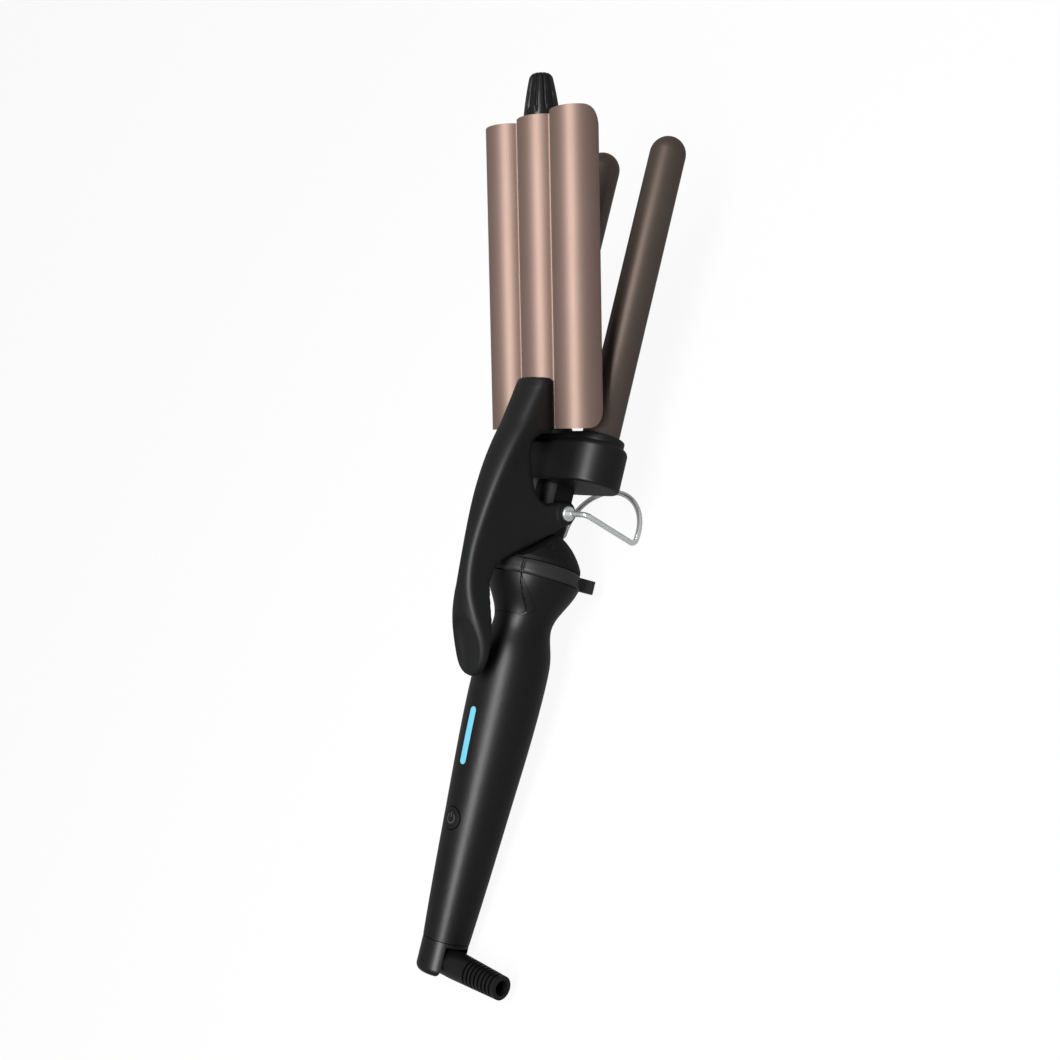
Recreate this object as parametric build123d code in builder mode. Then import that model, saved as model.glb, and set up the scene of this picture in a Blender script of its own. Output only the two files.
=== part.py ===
from build123d import *
import os
from math import asin, atan2, cos, degrees, hypot, radians, sin, sqrt, tan

os.makedirs("parts", exist_ok=True)

# Three-wave hair iron. Lengths are in millimetres and angles in degrees.
# The tool is drawn with its hinge axis on the Y axis, +X towards the tips of the barrels
# and +Z towards the thumb lever. The clamp is drawn closed and then opened about the hinge.
# At the end the whole tool is set down on its wire stand and its end cap.

# ---------------------------------------------------------------- driving dimensions

# Clearances
fit_gap = 0.1          # between pieces that stay together
turn_gap = 0.08        # around a shaft, on the radius
move_gap = 0.3         # between pieces that pass each other

# Heated barrels, fixed to the handle
barrel_radius = 7.4
barrel_wall = 0.8
barrel_pitch = 18.5    # from the tool's axis to a barrel's axis
barrel_root_depth = 13.5
barrel_dome = 151.7    # centre of the domed ends
heater_gap = 0.3
barrel_heater_thickness = 2.0
tube_heater_thickness = 3.2
barrel_heater_length = 76.0
tube_heater_length = 72.0
heater_tip_margin = 8.0

# Block that carries the barrels, and the collars on it
block_start = 10.7
block_length = 17.3
block_radius = 12.0
block_top_round = 2.6
block_foot_round = 1.2
collar_radius = 9.9
collar_height = 2.2
collar_round = 0.7

# Neck, cone and journal between the block and the handle
neck_radius = 7.7
neck_half_width = 6.0
tongue_radius = 7.2
tongue_length = 11.0
cone_start = -9.2
cone_shoulder = -14.6
cone_shoulder_radius = 13.8
cone_foot = -20.2
journal_radius = 13.0
spigot_radius = 8.6
spigot_length = 10.0
spigot_groove_depth = 1.6
spigot_groove_width = 3.0
ear_pocket_gap = 0.8

# Selector ring
ring_start = -21.8
ring_end = -28.0
ring_top_radius = 17.7
ring_flare = 0.8       # how much wider the ring is at its foot
ring_edge = 0.3
tab_reach = 24.6       # from the tool's axis to the tab's end
tab_height = 5.2
tab_thickness = 3.4
tab_bearing = 148.0    # from the lever's side, towards the right-hand side
tab_end_round = 1.2

# Handle
shell_wall = 3.0
cavity_start = -52.0
cavity_end_wall = 2.4
handle_end = -167.7
handle_end_radius = 9.0
bulb_station = -34.5
bulb_radius = 15.9
throat_station = -45.0
throat_radius = 11.6
swell = 0.6            # fullness of the grip's shoulder above a straight line
grip_station = -66.0
grip_radius = 14.6
mid_station = -115.0
mid_radius = 12.5
handle_tangents = ((-1, -0.25), (-1, -0.08))    # slope below the ring and at the cap
handle_screw_stations = (-59.0, -152.0)
screw_boss_radius = 3.6
board_rib_thickness = 1.6
board_rib_inset = 8.0

# Inlay below the ring
inlay_top_half = 10.0
inlay_waist_half = 11.8
inlay_waist = -38.0
inlay_end = -43.3
inlay_thickness = 1.2

# Light bar, power button and what is under them
light_length = 22.0
light_width = 3.0
light_centre = -92.0
light_foot = 1.6       # the foot's overhang, under the shell
light_foot_height = 1.0
button_centre = -123.3
button_radius = 4.2
button_travel = 0.8
button_rise = 0.3
button_flange = 0.9
button_flange_height = 0.8
button_lip = 2.2       # shell left over the button's flange
board_top = 4.6
board_thickness = 1.6
board_start = -76.0
board_length = 62.0
board_width = 12.6
switch_size = 6.0
switch_height = 2.0
plunger_radius = 1.7
plunger_height = 0.5
plunger_gap = 0.3

# End cap that swivels, and the cord guard in its fork
cap_radius = 8.9
cap_length = 12.6
cap_top = 1.2
cap_round = 2.6
stem_radius = 4.0
stem_bore = 2.6
stem_flange = 1.7
stem_flange_height = 1.6
guard_pivot_depth = 6.9
guard_radius = 5.2
guard_straight = 17.5
guard_reach = 34.5
guard_mouth_radius = 4.3
guard_bore = 2.7
guard_groove_count = 8
guard_groove_depth = 0.9
guard_groove_width = 0.9
guard_groove_pitch = 2.0
relief_pin_radius = 1.5
relief_pin_depth = 1.6     # how far a pin reaches into the guard

# Hinge rivet, closing spring and wire stand
pin_radius = 2.2
pin_head_radius = 3.0
pin_head_height = 1.0
spring_wire = 0.7
spring_radius = 3.7
spring_coils = 4
spring_pitch = 1.5
spring_leg_lean = 15.0
spring_pocket_gap = 0.8
wire_radius = 1.1
stand_half_width = 20.8
stand_leg = 30.2
stand_elbow = 2.4
stand_toe = 1.0        # straight run between the leg's bend and the bow
stand_bow = 19.0       # depth of the bow
stand_stub = 8.0       # length of wire inside the rivet, on each side

# Clamp: wave plate
open_angle = 20.0
plate_start = 33.3
plate_length = 119.0
lobe_radius = 9.8
plate_wall = 1.2
flank_depth = 2.9
flank_corner = 7.5

# Clamp: cool tip
tip_base_radius = 7.2
tip_waist_radius = 6.0
tip_top_radius = 4.2
tip_length = 17.3
tip_round = 1.8
tip_plug_length = 8.0
tip_flute_count = 12
tip_flute_radius = 1.1
tip_flute_depth = 0.5

# Clamp: lever
lever_half_width = 10.3    # of the ears, at the hinge
lever_draft = 0.115        # how much each side leans in, per millimetre of height
lever_inner_half = 6.9
lever_inner_draft = 0.075
lever_roof = 2.6
lever_crown = 12.5
lever_crest_round = 3.2
lever_boss_radius = 5.0
lever_boss_face = 10.6
lever_front = 50.0
lever_foot_height = 6.5
lever_front_wall = 2.4
lever_waist = -26.0
paddle_middle = -49.0
paddle_half_width = 8.8
paddle_spread = 2.0    # extra half width of the paddle's outline at the sole
paddle_end = -59.4
paddle_shoulder = -57.0
paddle_taper = 0.62
channel_end = -36.0
tab_end = 53.5
tab_wall = 1.0
tab_corner = 5.5
tab_half_width = 8.6
flange_thickness = 2.0
tube_spigot_depth = 12.0
tube_spigot_bore = 5.4
dish_start = -35.0
dish_end = -58.5
dish_bulge = 1.9       # of the thumb dish's cutter below its ends
dish_radius = 10.5
dish_lead = 2.0        # from the dish's middle to its deepest place, towards the end
seat_half_width = 1.3
seat_height = 12.8
seat_thickness = 2.4

# Side view of the lever: its crest from the foot to the paddle, its rear edge from the
# paddle to the hinge, and its front edge from the hinge to the foot
crest_top = (-38.0, 47.2)
ear_brow = (-13.6, 22.6)
lever_crest = (
    (56.0, 3.6),
    (48.8, 10.6),
    (39.6, 18.7),
    (29.0, 26.1),
    (15.1, 33.5),
    (-2.5, 40.5),
    (-17.2, 44.9),
    crest_top,
    (-52.3, 45.6),
    (-66.0, 42.6),
)
lever_rear = (
    (-66.0, 41.4),
    (-51.3, 40.4),
    (-36.8, 38.0),
    (-25.5, 36.2),
    (-18.8, 32.9),
    ear_brow,
    (-8.8, 8.4),
)
lever_notch = (
    (4.4, 9.0),
    (6.2, 15.0),
    (10.3, 17.0),
    (22.7, 17.4),
    (28.6, 15.0),
)

# Screws
screw_head_radius = 2.3
screw_head_height = 1.3
screw_shank_radius = 1.1
screw_engagement = 4.0
screw_sink = 2.2       # from the handle's surface down to the seat of a screw's head
block_screw_spread = 3.4
tube_screw_head_radius = 1.9
tube_screw_head_height = 0.8
tube_screw_inset = 4.0
tube_screw_pitch = 5.0

# ---------------------------------------------------------------- derived places

block_end = block_start + block_length
block_middle = block_start + block_length / 2
lever_mid = (lever_front + lever_waist) / 2
barrel_root = block_end - barrel_root_depth
plate_end = plate_start + plate_length
lever_foot = plate_start - flange_thickness
ring_foot_radius = ring_top_radius + ring_flare
cone_foot_radius = ring_top_radius - ring_edge
tube_bore = lobe_radius - plate_wall
spigot_end = ring_end - spigot_length
cap_start = handle_end - move_gap
cap_end = cap_start - cap_length
guard_pivot = cap_start - guard_pivot_depth
fork_half_gap = guard_radius + move_gap
cavity_end = handle_end + cavity_end_wall
spring_height = (spring_coils + (90 - spring_leg_lean) / 360) * spring_pitch
pocket_half_width = spring_height / 2 + spring_wire + spring_pocket_gap
leg_shift = neck_radius * tan(radians(spring_leg_lean))
hinge_height = stand_leg + wire_radius
button_bottom = board_top + switch_height + plunger_height + plunger_gap + button_travel

# Lean of the tool when the stand's bow and the rim of the cap both touch the table
rim_reach = abs(cap_end) - cap_round
rim_drop = cap_radius - cap_round
rim_bearing = atan2(rim_drop, rim_reach)
lean = degrees(asin((hinge_height - cap_round) / hypot(rim_reach, rim_drop)) - rim_bearing)


def opened(x, z):
    """A point of the closed clamp, seen from the side, where it lies with the clamp open."""
    turn = radians(open_angle)
    return (x * cos(turn) - z * sin(turn), x * sin(turn) + z * cos(turn))


def handle_curve(inset):
    """Half outline of the handle from the ring to the cap, drawn inset from its surface."""
    shoulder = ((throat_station + grip_station) / 2, (throat_radius + grip_radius) / 2 + swell)
    stations = (
        (ring_end, ring_foot_radius),
        (bulb_station, bulb_radius),
        (throat_station, throat_radius),
        shoulder,
        (grip_station, grip_radius),
        (mid_station, mid_radius),
        (handle_end, handle_end_radius),
    )
    return [(station, radius - inset) for station, radius in stations]


def turned_handle(inset):
    """The handle's whole turned form, inset from its surface."""
    with BuildPart() as form:
        with BuildSketch(Plane.XZ):
            with BuildLine():
                Spline(*handle_curve(inset), tangents=handle_tangents)
                Polyline(
                    (handle_end, handle_end_radius - inset),
                    (handle_end, 0),
                    (ring_end, 0),
                    (ring_end, ring_foot_radius - inset),
                )
            make_face()
        revolve(axis=Axis.X)
    return form.part


def surface_radius(station):
    """Radius of the handle at a station along it."""
    outline = Spline(*handle_curve(0), tangents=handle_tangents, mode=Mode.PRIVATE)
    near, far = 0.0, 1.0
    for _ in range(30):
        middle = (near + far) / 2
        if outline.position_at(middle).X > station:
            near = middle
        else:
            far = middle
    return outline.position_at(near).Y


# ---------------------------------------------------------------- fixed barrels and block


def make_barrel(side):
    """Round barrel with a domed end, on one side of the tool."""
    centre = side * barrel_pitch
    bore = barrel_radius - barrel_wall
    with BuildPart() as barrel:
        with BuildSketch(Plane.YZ.offset(barrel_root)):
            with Locations((centre, 0)):
                Circle(barrel_radius)
        extrude(amount=barrel_dome - barrel_root)
        with Locations((barrel_dome, centre, 0)):
            Sphere(barrel_radius)
        with BuildSketch(Plane.YZ.offset(barrel_root)):
            with Locations((centre, 0)):
                Circle(bore)
        extrude(amount=barrel_dome - barrel_root, mode=Mode.SUBTRACT)
        with Locations((barrel_dome, centre, 0)):
            Sphere(bore, mode=Mode.SUBTRACT)
    return barrel


def make_bar_heater(centre, bore, thickness, length):
    """Flat heating element whose long edges lie close to the wall of its bore."""
    reach = bore - heater_gap
    half_width = sqrt(reach**2 - (thickness / 2) ** 2)
    start = plate_end - tip_plug_length - heater_tip_margin - length
    with BuildPart() as heater:
        with BuildSketch(Plane.YZ.offset(start)):
            with Locations((centre, 0)):
                Rectangle(2 * half_width, thickness)
        extrude(amount=length)
    return heater


def make_collar(side):
    """Heat collar around a barrel, standing on the block."""
    with BuildPart() as collar:
        with BuildSketch(Plane.YZ.offset(block_end)):
            with Locations((side * barrel_pitch, 0)):
                Circle(collar_radius)
                Circle(barrel_radius + fit_gap, mode=Mode.SUBTRACT)
        extrude(amount=collar_height)
        rim = collar.edges().group_by(Axis.X)[-1].sort_by(SortBy.LENGTH)[-1]
        fillet(rim, collar_round)
    return collar


barrel_bore = barrel_radius - barrel_wall
barrel_left = make_barrel(1)
barrel_right = make_barrel(-1)
heater_left = make_bar_heater(
    barrel_pitch, barrel_bore, barrel_heater_thickness, barrel_heater_length
)
heater_right = make_bar_heater(
    -barrel_pitch, barrel_bore, barrel_heater_thickness, barrel_heater_length
)
heater_centre = make_bar_heater(0, tube_bore, tube_heater_thickness, tube_heater_length)
collar_left = make_collar(1)
collar_right = make_collar(-1)

block_screw_places = [(block_middle, -block_screw_spread), (block_middle, block_screw_spread)]

with BuildPart() as barrel_block:
    with BuildSketch(Plane.YZ.offset(block_start)):
        SlotCenterToCenter(2 * barrel_pitch, 2 * block_radius)
    extrude(amount=block_length)
    fillet(barrel_block.faces().sort_by(Axis.X)[-1].edges(), block_top_round)
    fillet(barrel_block.faces().sort_by(Axis.X)[0].edges(), block_foot_round)
    with BuildSketch(Plane.YZ.offset(barrel_root)):
        with Locations((-barrel_pitch, 0), (barrel_pitch, 0)):
            Circle(barrel_radius + fit_gap)
    extrude(amount=barrel_root_depth, mode=Mode.SUBTRACT)
    with BuildSketch(Plane.YZ.offset(block_start)):
        Circle(tongue_radius + fit_gap)
    extrude(amount=tongue_length + fit_gap, mode=Mode.SUBTRACT)
    with BuildSketch(Plane.XY.offset(-block_radius)):
        with Locations(*block_screw_places):
            Circle(screw_head_radius + fit_gap)
    extrude(amount=screw_head_height + fit_gap, mode=Mode.SUBTRACT)
    with BuildSketch(Plane.XY.offset(-block_radius)):
        with Locations(*block_screw_places):
            Circle(screw_shank_radius + fit_gap)
    extrude(amount=block_radius, mode=Mode.SUBTRACT)

with BuildPart() as block_screws:
    with BuildSketch(Plane.XY.offset(-block_radius + fit_gap)):
        with Locations(*block_screw_places):
            Circle(screw_head_radius)
    extrude(amount=screw_head_height)
    with BuildSketch(Plane.XY.offset(-block_radius + fit_gap)):
        with Locations(*block_screw_places):
            Circle(screw_shank_radius)
    extrude(amount=block_radius - tongue_radius + screw_engagement)

# ---------------------------------------------------------------- neck, cone and journal

groove_start = ring_end - spigot_groove_width
pocket_foot = opened(-lever_boss_radius, 0)
pocket_brow = opened(*ear_brow)
ear_pocket_half = lever_inner_half - lever_inner_draft * ear_brow[1] - move_gap

with BuildPart() as hinge_body:
    with BuildSketch(Plane.XZ):
        with BuildLine():
            Polyline(
                (block_start + tongue_length, 0),
                (block_start + tongue_length, tongue_radius),
                (block_start, tongue_radius),
                (block_start, neck_radius),
                (cone_start, neck_radius),
            )
            Spline(
                (cone_start, neck_radius),
                (cone_shoulder, cone_shoulder_radius),
                (cone_foot, cone_foot_radius),
            )
            Polyline(
                (cone_foot, cone_foot_radius),
                (ring_start + turn_gap, ring_top_radius),
                (ring_start + turn_gap, journal_radius),
                (ring_end, journal_radius),
                (ring_end, spigot_radius - spigot_groove_depth),
                (groove_start, spigot_radius - spigot_groove_depth),
                (groove_start, spigot_radius),
                (spigot_end, spigot_radius),
                (spigot_end, 0),
                (block_start + tongue_length, 0),
            )
        make_face()
    revolve(axis=Axis.X)
    # Flats beside the lever's ears
    for side in (-1, 1):
        with BuildSketch(Plane.XZ.offset(-side * neck_half_width)):
            with Locations(((block_start + cone_start) / 2, 0)):
                Rectangle(block_start - cone_start, 4 * neck_radius)
        extrude(amount=-side * neck_radius, mode=Mode.SUBTRACT)
    # Pockets in the cone that the ears swing into
    for side in (-1, 1):
        with BuildSketch(Plane.XZ.offset(-side * ear_pocket_half)):
            with BuildLine():
                Polyline(
                    (pocket_foot[0] - ear_pocket_gap, pocket_foot[1] - ear_pocket_gap),
                    (pocket_brow[0] - ear_pocket_gap, pocket_brow[1] - ear_pocket_gap),
                    (pocket_brow[0] - ear_pocket_gap, 2 * ring_top_radius),
                    (0, 2 * ring_top_radius),
                    (0, pocket_foot[1] - ear_pocket_gap),
                    close=True,
                )
            make_face()
            with Locations((cone_start, 0)):
                Rectangle(
                    2 * neck_radius, 6 * ring_top_radius, align=(Align.MIN, Align.CENTER), mode=Mode.SUBTRACT
                )
        extrude(amount=-side * ring_top_radius, mode=Mode.SUBTRACT)
    # Bore of the rivet
    with BuildSketch(Plane.XZ.offset(-neck_half_width)):
        Circle(pin_radius)
    extrude(amount=2 * neck_half_width, mode=Mode.SUBTRACT)
    # Room for the spring and its two legs
    with BuildSketch(Plane.XZ.offset(-pocket_half_width)):
        Circle(spring_radius + spring_wire + spring_pocket_gap)
        with Locations((block_start / 2, -spring_radius)):
            Rectangle(block_start, 2 * (spring_wire + spring_pocket_gap))
        with Locations((-spring_radius - leg_shift / 2, neck_radius / 2)):
            Rectangle(2 * (spring_wire + spring_pocket_gap) + leg_shift, neck_radius)
    extrude(amount=2 * pocket_half_width, mode=Mode.SUBTRACT)
    # Holes for the block's screws
    with BuildSketch(Plane.XY.offset(-tongue_radius)):
        with Locations(*block_screw_places):
            Circle(screw_shank_radius + fit_gap)
    extrude(amount=screw_engagement + 2 * fit_gap, mode=Mode.SUBTRACT)

with BuildPart() as hinge_pin:
    with BuildSketch(Plane.XZ.offset(-lever_boss_face - fit_gap)):
        Circle(pin_radius)
    extrude(amount=2 * (lever_boss_face + fit_gap))
    for side in (-1, 1):
        with BuildSketch(Plane.XZ.offset(-side * (lever_boss_face + fit_gap))):
            Circle(pin_head_radius)
        extrude(amount=-side * pin_head_height)
    with BuildSketch(Plane.XZ.offset(-2 * lever_boss_face)):
        Circle(wire_radius + turn_gap)
    extrude(amount=4 * lever_boss_face, mode=Mode.SUBTRACT)
    rims = hinge_pin.edges().filter_by(GeomType.CIRCLE).group_by(Axis.Y)
    outer_rims = [group.sort_by(SortBy.RADIUS)[-1] for group in (rims[0], rims[-1])]
    fillet(outer_rims, pin_head_height / 2)

coil_plane = Plane(origin=(0, -spring_height / 2, 0), x_dir=(0, 0, -1), z_dir=(0, 1, 0))
coil = coil_plane * Helix(spring_pitch, spring_height, spring_radius)
with BuildPart() as torsion_spring:
    with BuildSketch(Plane(origin=coil @ 0, z_dir=coil % 0)):
        Circle(spring_wire)
    sweep(path=coil, is_frenet=True)
    with BuildSketch(Plane(origin=coil @ 0, z_dir=-(coil % 0))):
        Circle(spring_wire)
    extrude(amount=block_start - fit_gap)
    with BuildSketch(Plane(origin=coil @ 1, z_dir=coil % 1)):
        Circle(spring_wire)
    extrude(amount=seat_height + seat_thickness / 2)

# ---------------------------------------------------------------- wire stand

bow_start = stand_elbow + stand_toe

with BuildPart() as stand_wire:
    with BuildLine() as stand_route:
        leg_line = FilletPolyline(
            (0, lever_boss_face + pin_head_height - stand_stub, 0),
            (0, stand_half_width, 0),
            (0, stand_half_width, -stand_leg),
            (bow_start, stand_half_width, -stand_leg),
            radius=stand_elbow,
        )
        EllipticalCenterArc((bow_start, 0, -stand_leg), stand_bow, stand_half_width, arc_size=90)
    with BuildSketch(Plane(origin=leg_line @ 0, z_dir=leg_line % 0)):
        Circle(wire_radius)
    sweep(path=stand_route.line)
    mirror(about=Plane.XZ)

# ---------------------------------------------------------------- selector ring

ring_top = ring_start - 2 * turn_gap
ring_foot = ring_end + 2 * turn_gap
tab_plane = Plane(
    origin=((ring_top + ring_foot - tab_height) / 2, 0, 0),
    x_dir=(0, cos(radians(tab_bearing)), sin(radians(tab_bearing))),
    z_dir=(1, 0, 0),
)

with BuildPart() as selector_ring:
    with BuildSketch(Plane.XZ):
        with BuildLine():
            Polyline(
                (ring_top, journal_radius + turn_gap),
                (ring_top, ring_top_radius - ring_edge),
                (ring_top - ring_edge, ring_top_radius),
                (ring_foot + ring_edge, ring_foot_radius),
                (ring_foot, ring_foot_radius - ring_edge),
                (ring_foot, journal_radius + turn_gap),
                close=True,
            )
        make_face()
    revolve(axis=Axis.X)
    with BuildSketch(tab_plane) as tab_outline:
        with Locations((0, (ring_top_radius + tab_reach) / 2 - tab_thickness / 2)):
            Rectangle(tab_thickness, tab_reach - ring_top_radius + tab_thickness)
        far_corners = tab_outline.vertices().sort_by(lambda corner: corner.center().length)[-2:]
        fillet(far_corners, tab_end_round)
    extrude(amount=tab_height)

# ---------------------------------------------------------------- handle


def inlay_form(thickness, growth):
    """Thin panel that lies in the handle's surface just below the ring, grown at its edges."""
    top = (ring_end + growth, inlay_top_half + growth)
    waist = (inlay_waist, inlay_waist_half + growth)
    corner = inlay_waist - inlay_end + growth
    foot = (inlay_end - growth, waist[1] - corner)
    with BuildPart() as form:
        add(turned_handle(0))
        add(turned_handle(thickness), mode=Mode.SUBTRACT)
        with BuildSketch(Plane.XY):
            with BuildLine():
                Polyline((foot[0], 0), (top[0], 0), top)
                Spline(top, waist, tangents=((-1, 0.15), (-1, 0)))
                RadiusArc(waist, foot, -corner)
                Line(foot, (foot[0], 0))
            make_face()
            mirror(about=Plane.XZ)
        extrude(amount=2 * ring_foot_radius, mode=Mode.INTERSECT)
    return form.part


with BuildPart() as handle_blank:
    add(turned_handle(0))
    with BuildSketch(Plane.XZ):
        with BuildLine():
            Polyline(
                (ring_end, 0),
                (ring_end, spigot_radius - spigot_groove_depth + fit_gap),
                (groove_start + fit_gap, spigot_radius - spigot_groove_depth + fit_gap),
                (groove_start + fit_gap, spigot_radius + fit_gap),
                (spigot_end - fit_gap, spigot_radius + fit_gap),
                (spigot_end - fit_gap, 0),
                close=True,
            )
        make_face()
    revolve(axis=Axis.X, mode=Mode.SUBTRACT)
    with BuildSketch(Plane.YZ.offset(handle_end)):
        Circle(stem_radius + turn_gap)
    extrude(amount=cavity_end_wall, mode=Mode.SUBTRACT)

with BuildPart() as handle_cavity:
    add(turned_handle(shell_wall))
    with BuildSketch(Plane.YZ.offset(cavity_start)):
        Circle(2 * ring_foot_radius)
    extrude(amount=cavity_end - cavity_start, mode=Mode.INTERSECT)

button_surface = surface_radius(button_centre)
button_ceiling = button_surface - button_lip
light_floor = surface_radius(light_centre - light_length / 2) - shell_wall - light_foot_height

with BuildPart() as handle_shell_front:
    add(handle_blank.part)
    add(handle_cavity.part, mode=Mode.SUBTRACT)
    split(bisect_by=Plane.XY, keep=Keep.TOP)
    add(inlay_form(inlay_thickness + fit_gap, fit_gap), mode=Mode.SUBTRACT)
    with BuildSketch(Plane.XY):
        with Locations((light_centre, 0)):
            SlotOverall(light_length + 2 * fit_gap, light_width + 2 * fit_gap)
        with Locations((button_centre, 0)):
            Circle(button_radius + move_gap)
    extrude(amount=2 * ring_foot_radius, mode=Mode.SUBTRACT)
    with BuildSketch(Plane.XY):
        with Locations((button_centre, 0)):
            Circle(button_radius + button_flange + move_gap)
    extrude(amount=button_ceiling, mode=Mode.SUBTRACT)
    for station in handle_screw_stations:
        with BuildSketch(Plane.XY):
            with Locations((station, 0)):
                Circle(screw_boss_radius)
                Circle(screw_shank_radius + fit_gap, mode=Mode.SUBTRACT)
        extrude(amount=surface_radius(station) - shell_wall / 2)
        with BuildSketch(Plane.XY.offset(screw_engagement + fit_gap)):
            with Locations((station, 0)):
                Circle(screw_boss_radius)
        extrude(amount=surface_radius(station) - shell_wall / 2 - screw_engagement - fit_gap)

with BuildPart() as board_ribs:
    for station in (board_start - board_rib_inset, board_start - board_length + board_rib_inset):
        with BuildSketch(Plane.YZ.offset(station - board_rib_thickness / 2)):
            with Locations((0, board_top - board_thickness)):
                Rectangle(board_width, ring_foot_radius, align=(Align.CENTER, Align.MAX))
        extrude(amount=board_rib_thickness)
    add(turned_handle(shell_wall / 2), mode=Mode.INTERSECT)

with BuildPart() as handle_shell_rear:
    add(handle_blank.part)
    add(handle_cavity.part, mode=Mode.SUBTRACT)
    split(bisect_by=Plane.XY, keep=Keep.BOTTOM)
    add(board_ribs.part)
    for station in handle_screw_stations:
        with BuildSketch(Plane.XY):
            with Locations((station, 0)):
                Circle(screw_boss_radius)
        extrude(amount=shell_wall / 2 - surface_radius(station))
        with BuildSketch(Plane.XY):
            with Locations((station, 0)):
                Circle(screw_shank_radius + fit_gap)
        extrude(amount=-ring_foot_radius, mode=Mode.SUBTRACT)
        with BuildSketch(Plane.XY.offset(screw_sink - surface_radius(station))):
            with Locations((station, 0)):
                Circle(screw_head_radius + fit_gap)
        extrude(amount=-2 * screw_sink, mode=Mode.SUBTRACT)

with BuildPart() as handle_screws:
    for station in handle_screw_stations:
        seat = screw_sink - surface_radius(station)
        with BuildSketch(Plane.XY.offset(seat)):
            with Locations((station, 0)):
                Circle(screw_head_radius)
        extrude(amount=-screw_head_height)
        with BuildSketch(Plane.XY.offset(seat)):
            with Locations((station, 0)):
                Circle(screw_shank_radius)
        extrude(amount=screw_engagement - seat)

with BuildPart() as panel_inlay:
    add(inlay_form(inlay_thickness, 0))

# ---------------------------------------------------------------- light bar, button, board

with BuildPart() as light_foot_form:
    add(turned_handle(shell_wall + fit_gap))
    with BuildSketch(Plane.XY.offset(light_floor)):
        with Locations((light_centre, 0)):
            SlotOverall(light_length + 2 * light_foot, light_width + 2 * light_foot)
    extrude(amount=ring_foot_radius, mode=Mode.INTERSECT)

with BuildPart() as light_pipe:
    add(turned_handle(0))
    with BuildSketch(Plane.XY.offset(light_floor)):
        with Locations((light_centre, 0)):
            SlotOverall(light_length, light_width)
    extrude(amount=ring_foot_radius, mode=Mode.INTERSECT)
    add(light_foot_form.part)

with BuildPart() as power_button:
    add(turned_handle(-button_rise))
    with BuildSketch(Plane.XY.offset(button_ceiling - fit_gap)):
        with Locations((button_centre, 0)):
            Circle(button_radius)
    extrude(amount=ring_foot_radius, mode=Mode.INTERSECT)
    with BuildSketch(Plane.XY.offset(button_ceiling - fit_gap)):
        with Locations((button_centre, 0)):
            Circle(button_radius + button_flange)
    extrude(amount=-button_flange_height)
    with BuildSketch(Plane.XY.offset(button_bottom)):
        with Locations((button_centre, 0)):
            Circle(plunger_radius)
    extrude(amount=button_ceiling - fit_gap - button_bottom)

with BuildPart() as circuit_board:
    with BuildSketch(Plane.XY.offset(board_top)):
        with Locations((board_start - board_length / 2, 0)):
            Rectangle(board_length, board_width)
    extrude(amount=-board_thickness)

with BuildPart() as tact_switch:
    with BuildSketch(Plane.XY.offset(board_top)):
        with Locations((button_centre, 0)):
            Rectangle(switch_size, switch_size)
    extrude(amount=switch_height)
    with BuildSketch(Plane.XY.offset(board_top + switch_height)):
        with Locations((button_centre, 0)):
            Circle(plunger_radius)
    extrude(amount=plunger_height)

# ---------------------------------------------------------------- end cap and cord guard

with BuildPart() as swivel_cap:
    with BuildSketch(Plane.YZ.offset(cap_start)):
        Circle(cap_radius)
    extrude(amount=-cap_length)
    fillet(swivel_cap.edges().group_by(Axis.X)[0], cap_round)
    with BuildSketch(Plane.XY.offset(-fork_half_gap)):
        with Locations((cap_start - cap_top, fork_half_gap)):
            Rectangle(cap_length, 3 * cap_radius, align=(Align.MAX, Align.MAX))
    extrude(amount=2 * fork_half_gap, mode=Mode.SUBTRACT)
    with BuildSketch(Plane.YZ.offset(cap_start)):
        Circle(stem_radius)
    extrude(amount=cavity_end - cap_start + fit_gap + stem_flange_height)
    with BuildSketch(Plane.YZ.offset(cavity_end + fit_gap)):
        Circle(stem_radius + stem_flange)
    extrude(amount=stem_flange_height)
    with BuildSketch(Plane.YZ.offset(cap_start - cap_top)):
        Circle(stem_bore)
    extrude(amount=cap_length, mode=Mode.SUBTRACT)
    with BuildSketch(Plane.XY.offset(-cap_radius)):
        with Locations((guard_pivot, 0)):
            Circle(relief_pin_radius + fit_gap / 2)
    extrude(amount=2 * cap_radius, mode=Mode.SUBTRACT)

pin_reach = sqrt(cap_radius**2 - relief_pin_radius**2) - fit_gap
with BuildPart() as relief_pins:
    for side in (-1, 1):
        with BuildSketch(Plane.XY.offset(side * (guard_radius - relief_pin_depth))):
            with Locations((guard_pivot, 0)):
                Circle(relief_pin_radius)
        extrude(amount=side * (pin_reach - guard_radius + relief_pin_depth))

groove_places = [
    (guard_pivot, -guard_straight - guard_groove_pitch * (turn + 0.5))
    for turn in range(guard_groove_count)
]

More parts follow.
